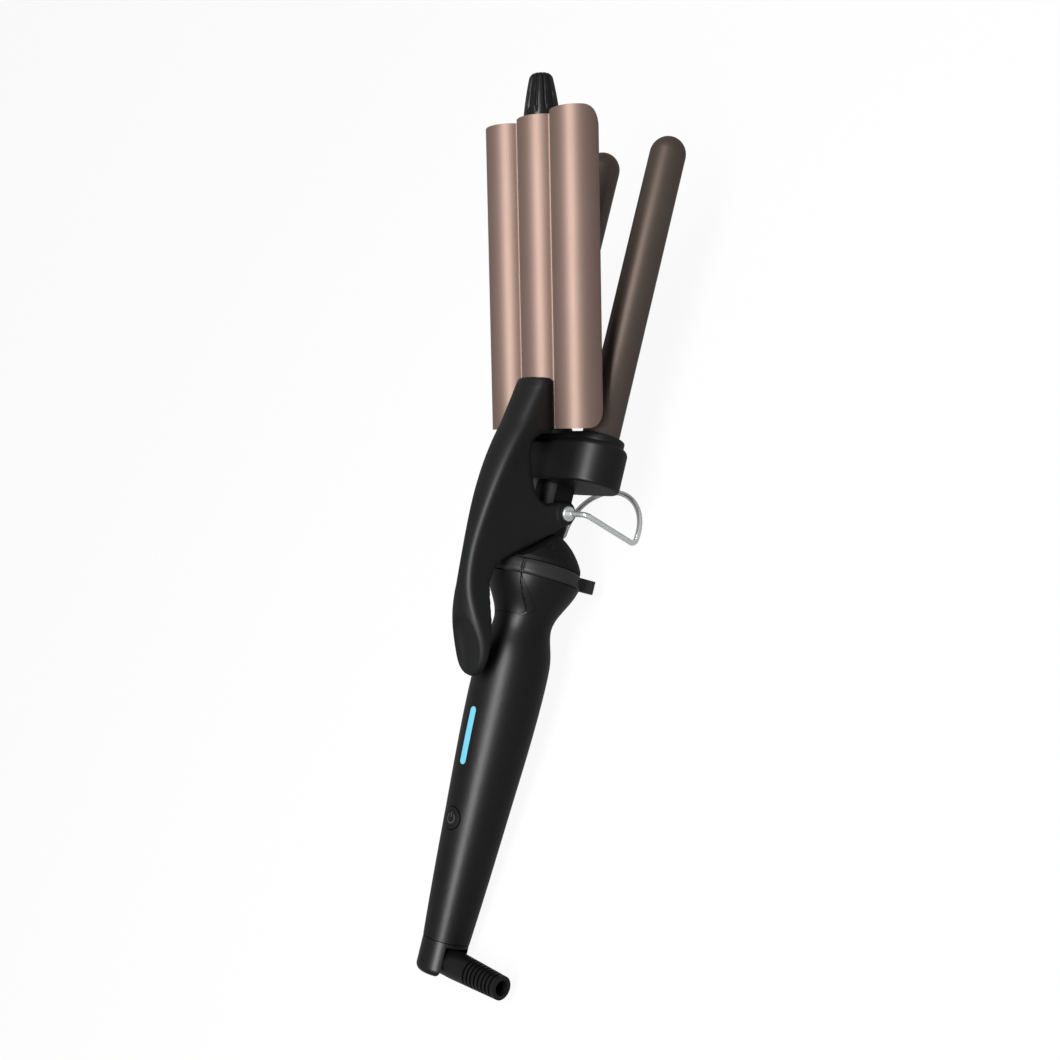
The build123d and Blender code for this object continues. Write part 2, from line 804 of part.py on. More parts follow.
with BuildPart() as strain_relief:
    with BuildSketch(Plane.XY.offset(-guard_radius)):
        with Locations((guard_pivot, 0)):
            Circle(guard_radius)
    extrude(amount=2 * guard_radius)
    with BuildSketch(Plane.XY):
        with BuildLine():
            Polyline(
                (guard_pivot, 0),
                (guard_pivot + guard_radius, 0),
                (guard_pivot + guard_radius, -guard_straight / 2),
                (guard_pivot + guard_mouth_radius, -guard_reach),
                (guard_pivot, -guard_reach),
                close=True,
            )
        make_face()
    revolve(axis=Axis((guard_pivot, 0, 0), (0, -1, 0)))
    # Ring grooves that let the guard bend
    with BuildSketch(Plane.XY):
        with Locations(*groove_places):
            Rectangle(2 * guard_radius + 2, guard_groove_width)
        with Locations((guard_pivot, -guard_reach / 2)):
            Rectangle(
                2 * (guard_mouth_radius - guard_groove_depth), 2 * guard_reach, mode=Mode.SUBTRACT
            )
        with Locations((guard_pivot, 0)):
            Rectangle(
                2 * guard_radius + 4, 4 * guard_reach, align=(Align.MAX, Align.CENTER), mode=Mode.SUBTRACT
            )
    revolve(axis=Axis((guard_pivot, 0, 0), (0, -1, 0)), mode=Mode.SUBTRACT)
    with BuildSketch(Plane.XZ):
        with Locations((guard_pivot, 0)):
            Circle(guard_bore)
    extrude(amount=guard_reach, mode=Mode.SUBTRACT)
    # Way of the cord out of the knuckle, free at every tilt
    with BuildSketch(Plane.XY.offset(-guard_bore)):
        with Locations((guard_pivot, 0)):
            Rectangle(2 * guard_radius, 2 * guard_radius, align=(Align.MIN, Align.MIN))
    extrude(amount=2 * guard_bore, mode=Mode.SUBTRACT)
    for side in (-1, 1):
        with BuildSketch(Plane.XY.offset(side * guard_radius)):
            with Locations((guard_pivot, 0)):
                Circle(relief_pin_radius + turn_gap)
        extrude(amount=-side * (relief_pin_depth + turn_gap), mode=Mode.SUBTRACT)

# ---------------------------------------------------------------- clamp: wave plate

valley_height = sqrt(lobe_radius**2 - (barrel_pitch / 2) ** 2)
plate_middle = (plate_start + plate_end) / 2
wing_reach = barrel_pitch + lobe_radius
tube_screw_places = [
    (plate_start + tube_screw_inset, 0),
    (plate_start + tube_screw_inset + tube_screw_pitch, 0),
]

# Everything between the two outer flanks, and the flanks with their rounded free corners
with BuildPart() as plate_limit:
    with BuildSketch(Plane.XZ.offset(-wing_reach)) as flank_outline:
        with Locations((plate_middle, -flank_depth)):
            Rectangle(plate_length, 2 * lobe_radius, align=(Align.CENTER, Align.MIN))
        fillet(flank_outline.vertices().group_by(Axis.Z)[0], flank_corner)
    extrude(amount=2 * wing_reach)
    with BuildSketch(Plane.XZ.offset(-barrel_pitch)):
        with Locations((plate_middle, 0)):
            Rectangle(plate_length, 4 * lobe_radius)
    extrude(amount=2 * barrel_pitch)

with BuildPart() as wave_plate:
    with BuildSketch(Plane.YZ.offset(plate_start)):
        with Locations((-barrel_pitch, 0), (barrel_pitch, 0)):
            Circle(lobe_radius)
        with Locations((-barrel_pitch, 0), (barrel_pitch, 0)):
            Circle(tube_bore, mode=Mode.SUBTRACT)
        with Locations((0, valley_height - plate_wall)):
            Rectangle(
                2 * barrel_pitch, 2 * lobe_radius, align=(Align.CENTER, Align.MAX), mode=Mode.SUBTRACT
            )
        Circle(lobe_radius)
        Circle(tube_bore, mode=Mode.SUBTRACT)
    extrude(amount=plate_length)
    add(plate_limit.part, mode=Mode.INTERSECT)
    with BuildSketch(Plane.XY.offset(-lobe_radius)):
        with Locations(*tube_screw_places):
            Circle(screw_shank_radius + fit_gap)
    extrude(amount=lobe_radius / 2, mode=Mode.SUBTRACT)

with BuildPart() as tube_screws:
    with BuildSketch(Plane.XY.offset(-lobe_radius - fit_gap)):
        with Locations(*tube_screw_places):
            Circle(tube_screw_head_radius)
    extrude(amount=-tube_screw_head_height)
    with BuildSketch(Plane.XY.offset(-lobe_radius - fit_gap)):
        with Locations(*tube_screw_places):
            Circle(screw_shank_radius)
    extrude(amount=lobe_radius - tube_spigot_bore)

# ---------------------------------------------------------------- clamp: cool tip

tip_end = plate_end + tip_length
flute_drop = tip_base_radius - tip_top_radius

with BuildPart() as tip_flute:
    with BuildSketch(
        Plane(
            origin=(plate_end, 0, tip_base_radius + tip_flute_radius),
            z_dir=(tip_length, 0, -flute_drop - tip_flute_depth),
        )
    ):
        Circle(tip_flute_radius)
    extrude(amount=1.2 * tip_length)

with BuildPart() as cool_tip:
    with BuildSketch(Plane.XZ):
        with BuildLine():
            Polyline(
                (tip_end, 0),
                (plate_end - tip_plug_length, 0),
                (plate_end - tip_plug_length, tube_bore - fit_gap),
                (plate_end, tube_bore - fit_gap),
                (plate_end, tip_base_radius),
            )
            Spline(
                (plate_end, tip_base_radius),
                (plate_end + tip_length / 2, tip_waist_radius),
                (tip_end, tip_top_radius),
            )
            Line((tip_end, tip_top_radius), (tip_end, 0))
        make_face()
    revolve(axis=Axis.X)
    fillet(cool_tip.edges().group_by(Axis.X)[-1], tip_round)
    for flute in range(tip_flute_count):
        add(tip_flute.part.rotate(Axis.X, flute * 360 / tip_flute_count), mode=Mode.SUBTRACT)

# ---------------------------------------------------------------- clamp: lever

sole = -block_radius
ridge_height = crest_top[1] + 3 * lever_roof
crown_half = 0.95 * lever_crown
crown_drop = lever_crown - sqrt(lever_crown**2 - crown_half**2)


def lever_wall(height, paddle_half):
    """Plan of the lever's side walls at one height, as one smooth line around the paddle."""
    half = lever_half_width - lever_draft * height
    side = [
        (lever_front, half),
        (lever_mid, half),
        (lever_waist, half),
        (paddle_middle, paddle_half),
        (paddle_shoulder, paddle_taper * paddle_half),
    ]
    other_side = [(x, -y) for x, y in reversed(side)]
    Spline(*side, (paddle_end, 0), *other_side, tangents=((-1, 0), (1, 0)))
    Line((lever_front, -half), (lever_front, half))


# What lies above the lever: its crest is a long curve, crowned from side to side
with BuildPart() as above_crest:
    with BuildLine() as crest_line:
        Spline(*[(x, 0, z) for x, z in lever_crest])
    crest = crest_line.line
    with BuildSketch(Plane(origin=crest @ 0, x_dir=(0, -1, 0), z_dir=crest % 0)):
        with BuildLine():
            ThreePointArc((-crown_half, -crown_drop), (0, 0), (crown_half, -crown_drop))
            Polyline(
                (crown_half, -crown_drop),
                (crown_half, 6 * lever_crown),
                (-crown_half, 6 * lever_crown),
                (-crown_half, -crown_drop),
            )
        make_face()
    sweep(path=crest)

# Hollow underside of the lever
with BuildPart() as lever_channel:
    with BuildSketch(Plane.YZ.offset(channel_end)):
        with BuildLine():
            low_half = lever_inner_half - lever_inner_draft * sole
            high_half = lever_inner_half - lever_inner_draft * ridge_height
            Polyline(
                (low_half, sole),
                (high_half, ridge_height),
                (-high_half, ridge_height),
                (-low_half, sole),
                close=True,
            )
        make_face()
    extrude(amount=lever_foot - lever_front_wall - channel_end)
    with BuildSketch(Plane.XZ.offset(-lever_half_width)):
        with BuildLine():
            roof = Spline(*[(x, z - lever_roof) for x, z in lever_crest])
            Polyline(roof @ 1, (lever_crest[-1][0], sole), (lever_crest[0][0], sole), roof @ 0)
        make_face()
    extrude(amount=2 * lever_half_width, mode=Mode.INTERSECT)

# Spindle that hollows the thumb dish, drawn about its own middle
dish_centre = (dish_start + dish_end) / 2
dish_half = (dish_start - dish_end) / 2

with BuildPart() as thumb_dish:
    with BuildSketch(Plane.XZ):
        with BuildLine():
            Polyline((-dish_half, dish_radius), (-dish_half, 0), (dish_half, 0), (dish_half, dish_radius))
            Spline(
                (dish_half, dish_radius),
                (-dish_lead, dish_radius + dish_bulge),
                (-dish_half, dish_radius),
            )
        make_face()
    revolve(axis=Axis.X)

# Half length of the rib that the spring presses on, from wall to wall of the channel
seat_half_span = lever_inner_half - lever_inner_draft * seat_height + fit_gap

# Place of the thumb dish, on the chord of the crest between the dish's ends
crest_side = Spline(*lever_crest, mode=Mode.PRIVATE)


def crest_height(station):
    """Height of the crest over a station along the lever."""
    near, far = 0.0, 1.0
    for _ in range(30):
        middle = (near + far) / 2
        if crest_side.position_at(middle).X > station:
            near = middle
        else:
            far = middle
    return crest_side.position_at(near).Y


dish_slope = degrees(atan2(crest_height(dish_end) - crest_height(dish_start), dish_start - dish_end))
dish_place = (
    dish_centre,
    0,
    (crest_height(dish_start) + crest_height(dish_end)) / 2 + dish_radius,
)

# Tab on the middle tube, rounded at its free end
with BuildPart() as foot_tab:
    with BuildSketch(Plane.YZ.offset(plate_start + fit_gap)):
        Circle(lobe_radius + fit_gap + tab_wall)
        Circle(lobe_radius + fit_gap, mode=Mode.SUBTRACT)
    extrude(amount=tab_end - plate_start)
    with BuildSketch(Plane.XY.offset(lever_foot_height)) as tab_plan:
        with Locations((tab_end, 0)):
            Rectangle(
                tab_end - plate_start - fit_gap, 2 * tab_half_width, align=(Align.MAX, Align.CENTER)
            )
        fillet(tab_plan.vertices().group_by(Axis.X)[-1], tab_corner)
    extrude(amount=lobe_radius, mode=Mode.INTERSECT)

with BuildPart() as clamp_lever:
    with BuildSketch(Plane.XY.offset(sole)):
        with BuildLine():
            lever_wall(sole, paddle_half_width + paddle_spread)
        make_face()
    with BuildSketch(Plane.XY.offset(ridge_height)):
        with BuildLine():
            lever_wall(ridge_height, paddle_half_width)
        make_face()
    loft(ruled=True)
    add(above_crest.part, mode=Mode.SUBTRACT)
    high_edges = clamp_lever.edges().filter_by(lambda edge: (edge @ 0.5).Z > crest_top[1] / 2)
    crest_edge = high_edges.sort_by(SortBy.LENGTH)[-1]
    fillet(crest_edge, lever_crest_round)
    with BuildSketch(Plane.XZ.offset(-2 * lever_half_width)):
        with BuildLine():
            Spline(*lever_rear, (-lever_boss_radius, 0), tangents=((1, 0), (0.25, -1)))
            ThreePointArc((-lever_boss_radius, 0), (0, -lever_boss_radius), (lever_boss_radius, 0))
            Spline((lever_boss_radius, 0), *lever_notch, (lever_foot, lever_foot_height))
            Polyline(
                (lever_foot, lever_foot_height),
                (lever_front, lever_foot_height),
                (lever_front, ridge_height),
                (lever_rear[0][0], ridge_height),
                lever_rear[0],
            )
        make_face()
    extrude(amount=4 * lever_half_width, mode=Mode.INTERSECT)
    add(lever_channel.part, mode=Mode.SUBTRACT)
    # Foot that hugs the middle tube, with the tab that runs on along it
    with BuildSketch(Plane.YZ.offset(plate_start)):
        Circle(lobe_radius + fit_gap)
    extrude(amount=tab_end - plate_start, mode=Mode.SUBTRACT)
    add(foot_tab.part)
    # Flange and spigot that close the tube's near end
    with BuildSketch(Plane.YZ.offset(lever_foot)):
        Circle(lobe_radius)
    extrude(amount=plate_start - lever_foot - fit_gap)
    with BuildSketch(Plane.YZ.offset(lever_foot)):
        Circle(tube_bore - fit_gap)
    extrude(amount=plate_start - lever_foot + tube_spigot_depth)
    with BuildSketch(Plane.YZ.offset(lever_foot - lever_front_wall)):
        Circle(tube_spigot_bore)
    extrude(amount=2 * tube_spigot_depth + lever_front_wall, mode=Mode.SUBTRACT)
    with BuildSketch(Plane.XY.offset(-lobe_radius)):
        with Locations(*tube_screw_places):
            Circle(screw_shank_radius + fit_gap)
    extrude(amount=lobe_radius, mode=Mode.SUBTRACT)
    # Bosses of the ears, bored for the rivet
    for side in (-1, 1):
        with BuildSketch(Plane.XZ.offset(-side * lever_boss_face)):
            Circle(lever_boss_radius)
        extrude(amount=side * (lever_boss_face - lever_inner_half))
    with BuildSketch(Plane.XZ.offset(-2 * lever_boss_face)):
        Circle(pin_radius + turn_gap)
    extrude(amount=4 * lever_boss_face, mode=Mode.SUBTRACT)
    # Rib that the spring's leg presses on
    with BuildSketch(Plane.XZ.offset(-seat_half_span)):
        with Locations((0, seat_height)):
            Rectangle(2 * seat_half_width, seat_thickness, align=(Align.CENTER, Align.MIN))
    extrude(amount=2 * seat_half_span)
    add(thumb_dish.part.rotate(Axis.Y, dish_slope).moved(Location(dish_place)), mode=Mode.SUBTRACT)

# ---------------------------------------------------------------- set down and written

pieces = {
    "barrel_left": (barrel_left, 0),
    "barrel_right": (barrel_right, 0),
    "heater_left": (heater_left, 0),
    "heater_right": (heater_right, 0),
    "collar_left": (collar_left, 0),
    "collar_right": (collar_right, 0),
    "barrel_block": (barrel_block, 0),
    "block_screws": (block_screws, 0),
    "hinge_body": (hinge_body, 0),
    "hinge_pin": (hinge_pin, 0),
    "torsion_spring": (torsion_spring, 0),
    "selector_ring": (selector_ring, 0),
    "handle_shell_front": (handle_shell_front, 0),
    "handle_shell_rear": (handle_shell_rear, 0),
    "handle_screws": (handle_screws, 0),
    "panel_inlay": (panel_inlay, 0),
    "light_pipe": (light_pipe, 0),
    "power_button": (power_button, 0),
    "circuit_board": (circuit_board, 0),
    "tact_switch": (tact_switch, 0),
    "swivel_cap": (swivel_cap, 0),
    "relief_pins": (relief_pins, 0),
    "strain_relief": (strain_relief, 0),
    "wave_plate": (wave_plate, open_angle),
    "clamp_lever": (clamp_lever, open_angle),
    "cool_tip": (cool_tip, open_angle),
    "heater_centre": (heater_centre, open_angle),
    "tube_screws": (tube_screws, open_angle),
    "stand_wire": (stand_wire, -lean),
}

stood = {name: piece.part.rotate(Axis.Y, -lean - turn) for name, (piece, turn) in pieces.items()}
extent = Compound(list(stood.values())).bounding_box()
rest_point = Vector(extent.center().X, extent.center().Y, extent.min.Z)

for name, solid in stood.items():
    finished = solid.moved(Location(-rest_point))
    finished.label = name
    export_step(finished, f"parts/{name}.step")
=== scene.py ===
from functools import partial
from math import asin, atan2, cos, hypot, pi, radians, sin, sqrt

import bmesh
import bpy
import numpy as np
from mathutils import Matrix, Vector
from mathutils.bvhtree import BVHTree


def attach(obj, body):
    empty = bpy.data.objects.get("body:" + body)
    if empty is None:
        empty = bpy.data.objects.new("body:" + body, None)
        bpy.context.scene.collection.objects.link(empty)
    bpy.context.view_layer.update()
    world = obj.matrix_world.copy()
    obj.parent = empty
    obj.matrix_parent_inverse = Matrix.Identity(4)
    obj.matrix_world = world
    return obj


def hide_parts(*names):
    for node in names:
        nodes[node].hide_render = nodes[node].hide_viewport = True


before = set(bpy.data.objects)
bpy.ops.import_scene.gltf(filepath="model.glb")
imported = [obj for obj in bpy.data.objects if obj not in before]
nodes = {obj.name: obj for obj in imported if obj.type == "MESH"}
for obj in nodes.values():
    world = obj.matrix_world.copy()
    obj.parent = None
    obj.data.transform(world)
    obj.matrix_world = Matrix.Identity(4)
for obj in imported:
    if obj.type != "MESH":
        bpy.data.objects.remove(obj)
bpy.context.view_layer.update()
bpy.context.scene.view_settings.view_transform = "Standard"
print("frame loaded:", len(nodes), "nodes")

# Where the tool stands: every piece is drawn on the hinge, in millimetres, with +X towards
# the tips and +Z towards the thumb lever, and then leaned onto its wire stand and its cap.
stance = {
    "lean": 7.245747154,          # degrees, tips up
    "clampOpen": 20.0,            # further turn of the clamp
    "hinge": (11.0423, 2.0, 31.3),
    "millimetre": 0.001,          # in the frame's metres
}


def placing(turn=0.0):
    move = Matrix.Translation(Vector(stance["hinge"]))
    swing = Matrix.Rotation(radians(-stance["lean"] - turn), 4, "Y")
    return Matrix.Scale(stance["millimetre"], 4) @ move @ swing


onHandle = placing()
onClamp = placing(stance["clampOpen"])


# Node helpers: an input takes a value, an output socket, or a list of output sockets
def feed(tree, node, inputs):
    for key, value in inputs.items():
        for source in value if isinstance(value, list) else [value]:
            if isinstance(source, bpy.types.NodeSocket):
                tree.links.new(source, node.inputs[key])
            else:
                node.inputs[key].default_value = source


def addNode(tree, kind, inputs=None, **settings):
    node = tree.nodes.new(kind)
    for key, value in settings.items():
        setattr(node, key, value)
    feed(tree, node, inputs or {})
    return node


def mathNode(tree, operation, *terms):
    return addNode(tree, "ShaderNodeMath", dict(enumerate(terms)), operation=operation).outputs["Value"]


def makeMaterial(name):
    material = bpy.data.materials.new(name)
    material.use_nodes = True
    return material, material.node_tree, material.node_tree.nodes["Principled BSDF"]


# Grains: shader groups that give a height, a tone and a roughness over the surface
def makeGrain(name, takes):
    group = bpy.data.node_groups.new(name, "ShaderNodeTree")
    for label, value in {"Vector": (0.0, 0.0, 0.0), **takes}.items():
        kind = "NodeSocketVector" if isinstance(value, tuple) else "NodeSocketFloat"
        group.interface.new_socket(label, in_out="INPUT", socket_type=kind).default_value = value
    for label in ("Height", "Tone", "Roughness"):
        group.interface.new_socket(label, in_out="OUTPUT", socket_type="NodeSocketFloat")
    return group, addNode(group, "NodeGroupInput").outputs


def endGrain(group, takes, height, tone, wear):
    spread = addNode(group, "ShaderNodeMapRange", {
        "Value": wear.outputs["Fac"], "To Min": takes["Rough Low"], "To Max": takes["Rough High"],
    })
    addNode(group, "NodeGroupOutput", {
        "Height": height.outputs["Fac"], "Tone": tone.outputs["Fac"], "Roughness": spread.outputs["Result"],
    })
    return group


# Moulded grain: a fine pebbled height, and a slow tone that follows handling
def buildMouldGrain():
    group, takes = makeGrain("mouldGrain", {
        "Grain Scale": 2600.0, "Smudge Scale": 28.0, "Rough Low": 0.4, "Rough High": 0.5,
    })
    fine = addNode(group, "ShaderNodeTexNoise", {
        "Vector": takes["Vector"], "Scale": takes["Grain Scale"], "Detail": 3.0, "Roughness": 0.6,
    })
    slow = addNode(group, "ShaderNodeTexNoise", {
        "Vector": takes["Vector"], "Scale": takes["Smudge Scale"], "Detail": 2.0, "Roughness": 0.5,
        "Distortion": 0.4,
    })
    return endGrain(group, takes, fine, slow, slow)


# Drawn metal: fine streaks that run along the tool, with faint slow clouds
def buildDrawnGrain():
    group, takes = makeGrain("drawnGrain", {
        "Streaks": (60.0, 3800.0, 3800.0), "Rough Low": 0.3, "Rough High": 0.42,
    })
    stretch = addNode(
        group, "ShaderNodeVectorMath", {0: takes["Vector"], 1: takes["Streaks"]}, operation="MULTIPLY"
    )
    streaks = addNode(group, "ShaderNodeTexNoise", {
        "Vector": stretch.outputs["Vector"], "Scale": 1.0, "Detail": 3.0, "Roughness": 0.65,
    })
    clouds = addNode(group, "ShaderNodeTexNoise", {"Vector": takes["Vector"], "Scale": 22.0, "Detail": 2.0})
    return endGrain(group, takes, streaks, clouds, streaks)


mouldGrain = buildMouldGrain()
drawnGrain = buildDrawnGrain()


# A material whose grain comes from one of the groups, turned to lie along the tool
def makeFinish(name, grain, scales, look):
    material, tree, shader = makeMaterial(name)
    place = addNode(tree, "ShaderNodeTexCoord")
    turn = stance["lean"] + (stance["clampOpen"] if look.get("onClamp") else 0.0)
    along = addNode(tree, "ShaderNodeMapping", {
        "Vector": place.outputs["Object"], "Rotation": (0.0, radians(turn), 0.0),
    })
    low, high = look["rough"]
    surface = addNode(tree, "ShaderNodeGroup", node_tree=grain)
    feed(tree, surface, {"Vector": along.outputs["Vector"], "Rough Low": low, "Rough High": high, **scales})
    dark, pale = look["tones"]
    shade = addNode(tree, "ShaderNodeMix", data_type="RGBA")
    feed(tree, shade, {"Factor": surface.outputs["Tone"], "A": (*dark, 1.0), "B": (*pale, 1.0)})
    strength, depth = look["relief"]
    bump = addNode(tree, "ShaderNodeBump", {
        "Strength": strength, "Distance": depth, "Height": surface.outputs["Height"],
    })
    feed(tree, shader, {
        "Base Color": shade.outputs["Result"], "Roughness": surface.outputs["Roughness"],
        "Normal": bump.outputs["Normal"],
        "Metallic": look.get("metallic", 0.0), "Specular IOR Level": look["specular"],
    })
    return material


# tones: dark and pale; grain: its scale and the smudges'; rough: from and to; relief: strength and depth
plastics = {
    "satinBlack": {
        "tones": ((0.0028, 0.0030, 0.0031), (0.0042, 0.0045, 0.0046)), "grain": (2600.0, 30.0),
        "rough": (0.42, 0.50), "relief": (0.22, 0.00004), "specular": 0.36, "onClamp": True,
    },
    # black plastic set darker than the rest: painted shade for the shaded undersides of the block and collars
    "blockBlackPaintedShade": {
        "tones": ((0.0020, 0.0020, 0.0021), (0.0030, 0.0030, 0.0031)), "grain": (2200.0, 45.0),
        "rough": (0.40, 0.48), "relief": (0.25, 0.00004), "specular": 0.40,
    },
    "neckBlack": {
        "tones": ((0.0030, 0.0030, 0.0031), (0.0044, 0.0044, 0.0045)), "grain": (2200.0, 45.0),
        "rough": (0.50, 0.58), "relief": (0.25, 0.00004), "specular": 0.22,
    },
    "softTouch": {
        "tones": ((0.0031, 0.0032, 0.0033), (0.0045, 0.0047, 0.0048)), "grain": (3400.0, 24.0),
        "rough": (0.33, 0.42), "relief": (0.22, 0.00003), "specular": 0.32,
    },
    # black plastic made several times paler all over: a painted highlight for the ring's lit tab
    "ringBlackPaintedHighlight": {
        "tones": ((0.0150, 0.0152, 0.0155), (0.0210, 0.0212, 0.0215)), "grain": (2600.0, 40.0),
        "rough": (0.38, 0.46), "relief": (0.20, 0.00003), "specular": 0.32,
    },
    "tipBlack": {
        "tones": ((0.0040, 0.0040, 0.0042), (0.0060, 0.0060, 0.0062)), "grain": (1800.0, 60.0),
        "rough": (0.24, 0.32), "relief": (0.08, 0.00003), "specular": 0.32, "onClamp": True,
    },
    "capBlack": {
        "tones": ((0.0040, 0.0041, 0.0043), (0.0060, 0.0061, 0.0063)), "grain": (2200.0, 60.0),
        "rough": (0.30, 0.38), "relief": (0.12, 0.00003), "specular": 0.32,
    },
    "guardRubber": {
        "tones": ((0.0036, 0.0036, 0.0037), (0.0054, 0.0054, 0.0055)), "grain": (1500.0, 60.0),
        "rough": (0.30, 0.42), "relief": (0.15, 0.00003), "specular": 0.32,
    },
    "heaterCeramic": {
        "tones": ((0.42, 0.37, 0.30), (0.55, 0.50, 0.42)), "grain": (1200.0, 90.0),
        "rough": (0.55, 0.75), "relief": (0.30, 0.00006), "specular": 0.32,
    },
    "printGrey": {
        "tones": ((0.060, 0.060, 0.061), (0.075, 0.075, 0.076)), "grain": (2600.0, 80.0),
        "rough": (0.45, 0.55), "relief": (0.05, 0.00002), "specular": 0.32,
    },
    "boardGreen": {
        "tones": ((0.010, 0.070, 0.030), (0.016, 0.100, 0.045)), "grain": (900.0, 160.0),
        "rough": (0.28, 0.42), "relief": (0.15, 0.00004), "specular": 0.32,
    },
}
# streaks: their scale along the tool and across it
metals = {
    "rosePlate": {
        "tones": ((0.235, 0.162, 0.134), (0.264, 0.185, 0.155)), "streaks": (40.0, 3200.0),
        "rough": (0.50, 0.58), "relief": (0.10, 0.00002), "metallic": 0.72, "specular": 0.3, "onClamp": True,
    },
    "bronzeBarrel": {
        "tones": ((0.112, 0.085, 0.071), (0.146, 0.113, 0.094)), "streaks": (40.0, 3200.0),
        "rough": (0.40, 0.50), "relief": (0.10, 0.00002), "metallic": 0.8, "specular": 0.5,
    },
    "chromeWire": {
        "tones": ((0.86, 0.87, 0.88), (0.93, 0.94, 0.95)), "streaks": (300.0, 1500.0),
        "rough": (0.10, 0.18), "relief": (0.04, 0.00001), "metallic": 0.78, "specular": 0.5,
    },
    "darkSteel": {
        "tones": ((0.20, 0.20, 0.205), (0.30, 0.30, 0.31)), "streaks": (500.0, 2500.0),
        "rough": (0.26, 0.40), "relief": (0.08, 0.00002), "metallic": 1.0, "specular": 0.5,
    },
}


# Light bar: clear cyan plastic, lit from inside, brighter in soft patches
litBar = {
    "body": (0.02, 0.16, 0.22), "rough": 0.25,
    "glow": ((0.15, 0.48, 0.64), (0.26, 0.62, 0.77)), "strength": 0.85,
    "patches": 260.0,
}


def makeLitBar():
    material, tree, shader = makeMaterial("litBar")
    place = addNode(tree, "ShaderNodeTexCoord")
    cloud = addNode(tree, "ShaderNodeTexNoise", {
        "Vector": place.outputs["Object"], "Scale": litBar["patches"], "Detail": 1.0,
    })
    dark, pale = litBar["glow"]
    glow = addNode(tree, "ShaderNodeMix", data_type="RGBA")
    feed(tree, glow, {"Factor": cloud.outputs["Fac"], "A": (*dark, 1.0), "B": (*pale, 1.0)})
    feed(tree, shader, {
        "Emission Color": glow.outputs["Result"], "Emission Strength": litBar["strength"],
        "Base Color": (*litBar["body"], 1.0), "Roughness": litBar["rough"],
    })
    return material


finishes = {"litBar": makeLitBar()}
for name, look in plastics.items():
    scales = dict(zip(("Grain Scale", "Smudge Scale"), look["grain"]))
    finishes[name] = makeFinish(name, mouldGrain, scales, look)
for name, look in metals.items():
    along, across = look["streaks"]
    finishes[name] = makeFinish(name, drawnGrain, {"Streaks": (along, across, across)}, look)
print("finishes made:", len(finishes))


def dress(obj, finish):
    obj.data.materials.clear()
    obj.data.materials.append(finishes[finish])


# CAD nodes whose shape is right keep it and get their finish
carried = {
    # the block takes the darkened black, a painted shade
    "barrel_left": "bronzeBarrel", "barrel_right": "bronzeBarrel", "barrel_block": "blockBlackPaintedShade",
    "heater_left": "heaterCeramic", "heater_right": "heaterCeramic", "heater_centre": "heaterCeramic",
    "hinge_body": "neckBlack", "hinge_pin": "chromeWire", "stand_wire": "chromeWire",
    "torsion_spring": "darkSteel", "tact_switch": "darkSteel", "circuit_board": "boardGreen",
    "handle_shell_front": "softTouch", "handle_shell_rear": "softTouch", "power_button": "softTouch",
    "light_pipe": "litBar", "swivel_cap": "capBlack", "relief_pins": "capBlack",
    "strain_relief": "guardRubber",
}
for nodeName, finish in carried.items():
    dress(nodes[nodeName], finish)
print("carried nodes dressed:", len(carried))


# Making pieces: drawn in millimetres on the hinge, then placed in the frame
merging = {"drawn": 0.0005, "carried": 0.002}     # corners nearer than this are one


def addObject(name, data):
    obj = bpy.data.objects.new(name, data)
    bpy.context.scene.collection.objects.link(obj)
    return obj


def meshOf(name, form):
    mesh = bpy.data.meshes.new(name)
    form.to_mesh(mesh)
    form.free()
    return mesh


def addPiece(name, form, matrix, finish, sharp):
    bmesh.ops.remove_doubles(form, verts=form.verts, dist=merging["drawn"])
    bmesh.ops.recalc_face_normals(form, faces=form.faces)
    form.transform(matrix)
    return addMesh(name, meshOf(name, form), finish, sharp)


# A finished mesh, shaded smooth but for edges over the sharp angle
def addMesh(name, mesh, finish, sharp):
    mesh.shade_smooth()
    mesh.set_sharp_from_angle(angle=radians(sharp))
    piece = addObject(name, mesh)
    dress(piece, finish)
    return piece


def join(piece, body, slot, *replaced):
    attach(piece, body)
    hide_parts(*replaced)


# A CAD node's own form in the tool's millimetres, merged to one skin
def mergedCopy(node, matrix):
    form = bmesh.new()
    form.from_mesh(nodes[node].data)
    form.transform(matrix.inverted())
    bmesh.ops.remove_doubles(form, verts=form.verts, dist=merging["carried"])
    return form


# The mesh that an object gives with its modifiers, which are then taken off
def settle(name, worker, matrix):
    ready = worker.evaluated_get(bpy.context.evaluated_depsgraph_get())
    mesh = bpy.data.meshes.new_from_object(ready)
    mesh.name = name
    worker.modifiers.clear()
    bpy.data.objects.remove(worker)
    mesh.transform(matrix)
    return mesh


# Outlines, and the skins between them
def arcPoints(centre, radius, first, last, steps):
    turns = np.linspace(first, last, steps + 1)
    return [(centre[0] + radius * cos(turn), centre[1] + radius * sin(turn)) for turn in turns]


def runPoints(start, end, steps):
    across, up = end[0] - start[0], end[1] - start[1]
    return [(start[0] + across * share, start[1] + up * share) for share in np.linspace(0.0, 1.0, steps + 1)]


# Faces between two rows of as many corners; a closed row comes round to its first corner
def bridge(form, near, far, closed=True, skipped=None):
    count = len(near)
    for edge in range(count if closed else count - 1):
        if edge != skipped:
            after = (edge + 1) % count
            form.faces.new((near[edge], near[after], far[after], far[edge]))


# A skin over a row of loops, with a lid at each end unless the last loop meets the first
def loft(form, loops, closed=False):
    count = len(loops)
    for index in range(count if closed else count - 1):
        bridge(form, loops[index], loops[(index + 1) % count])
    if not closed:
        form.faces.new(loops[0])
        form.faces.new(loops[-1])


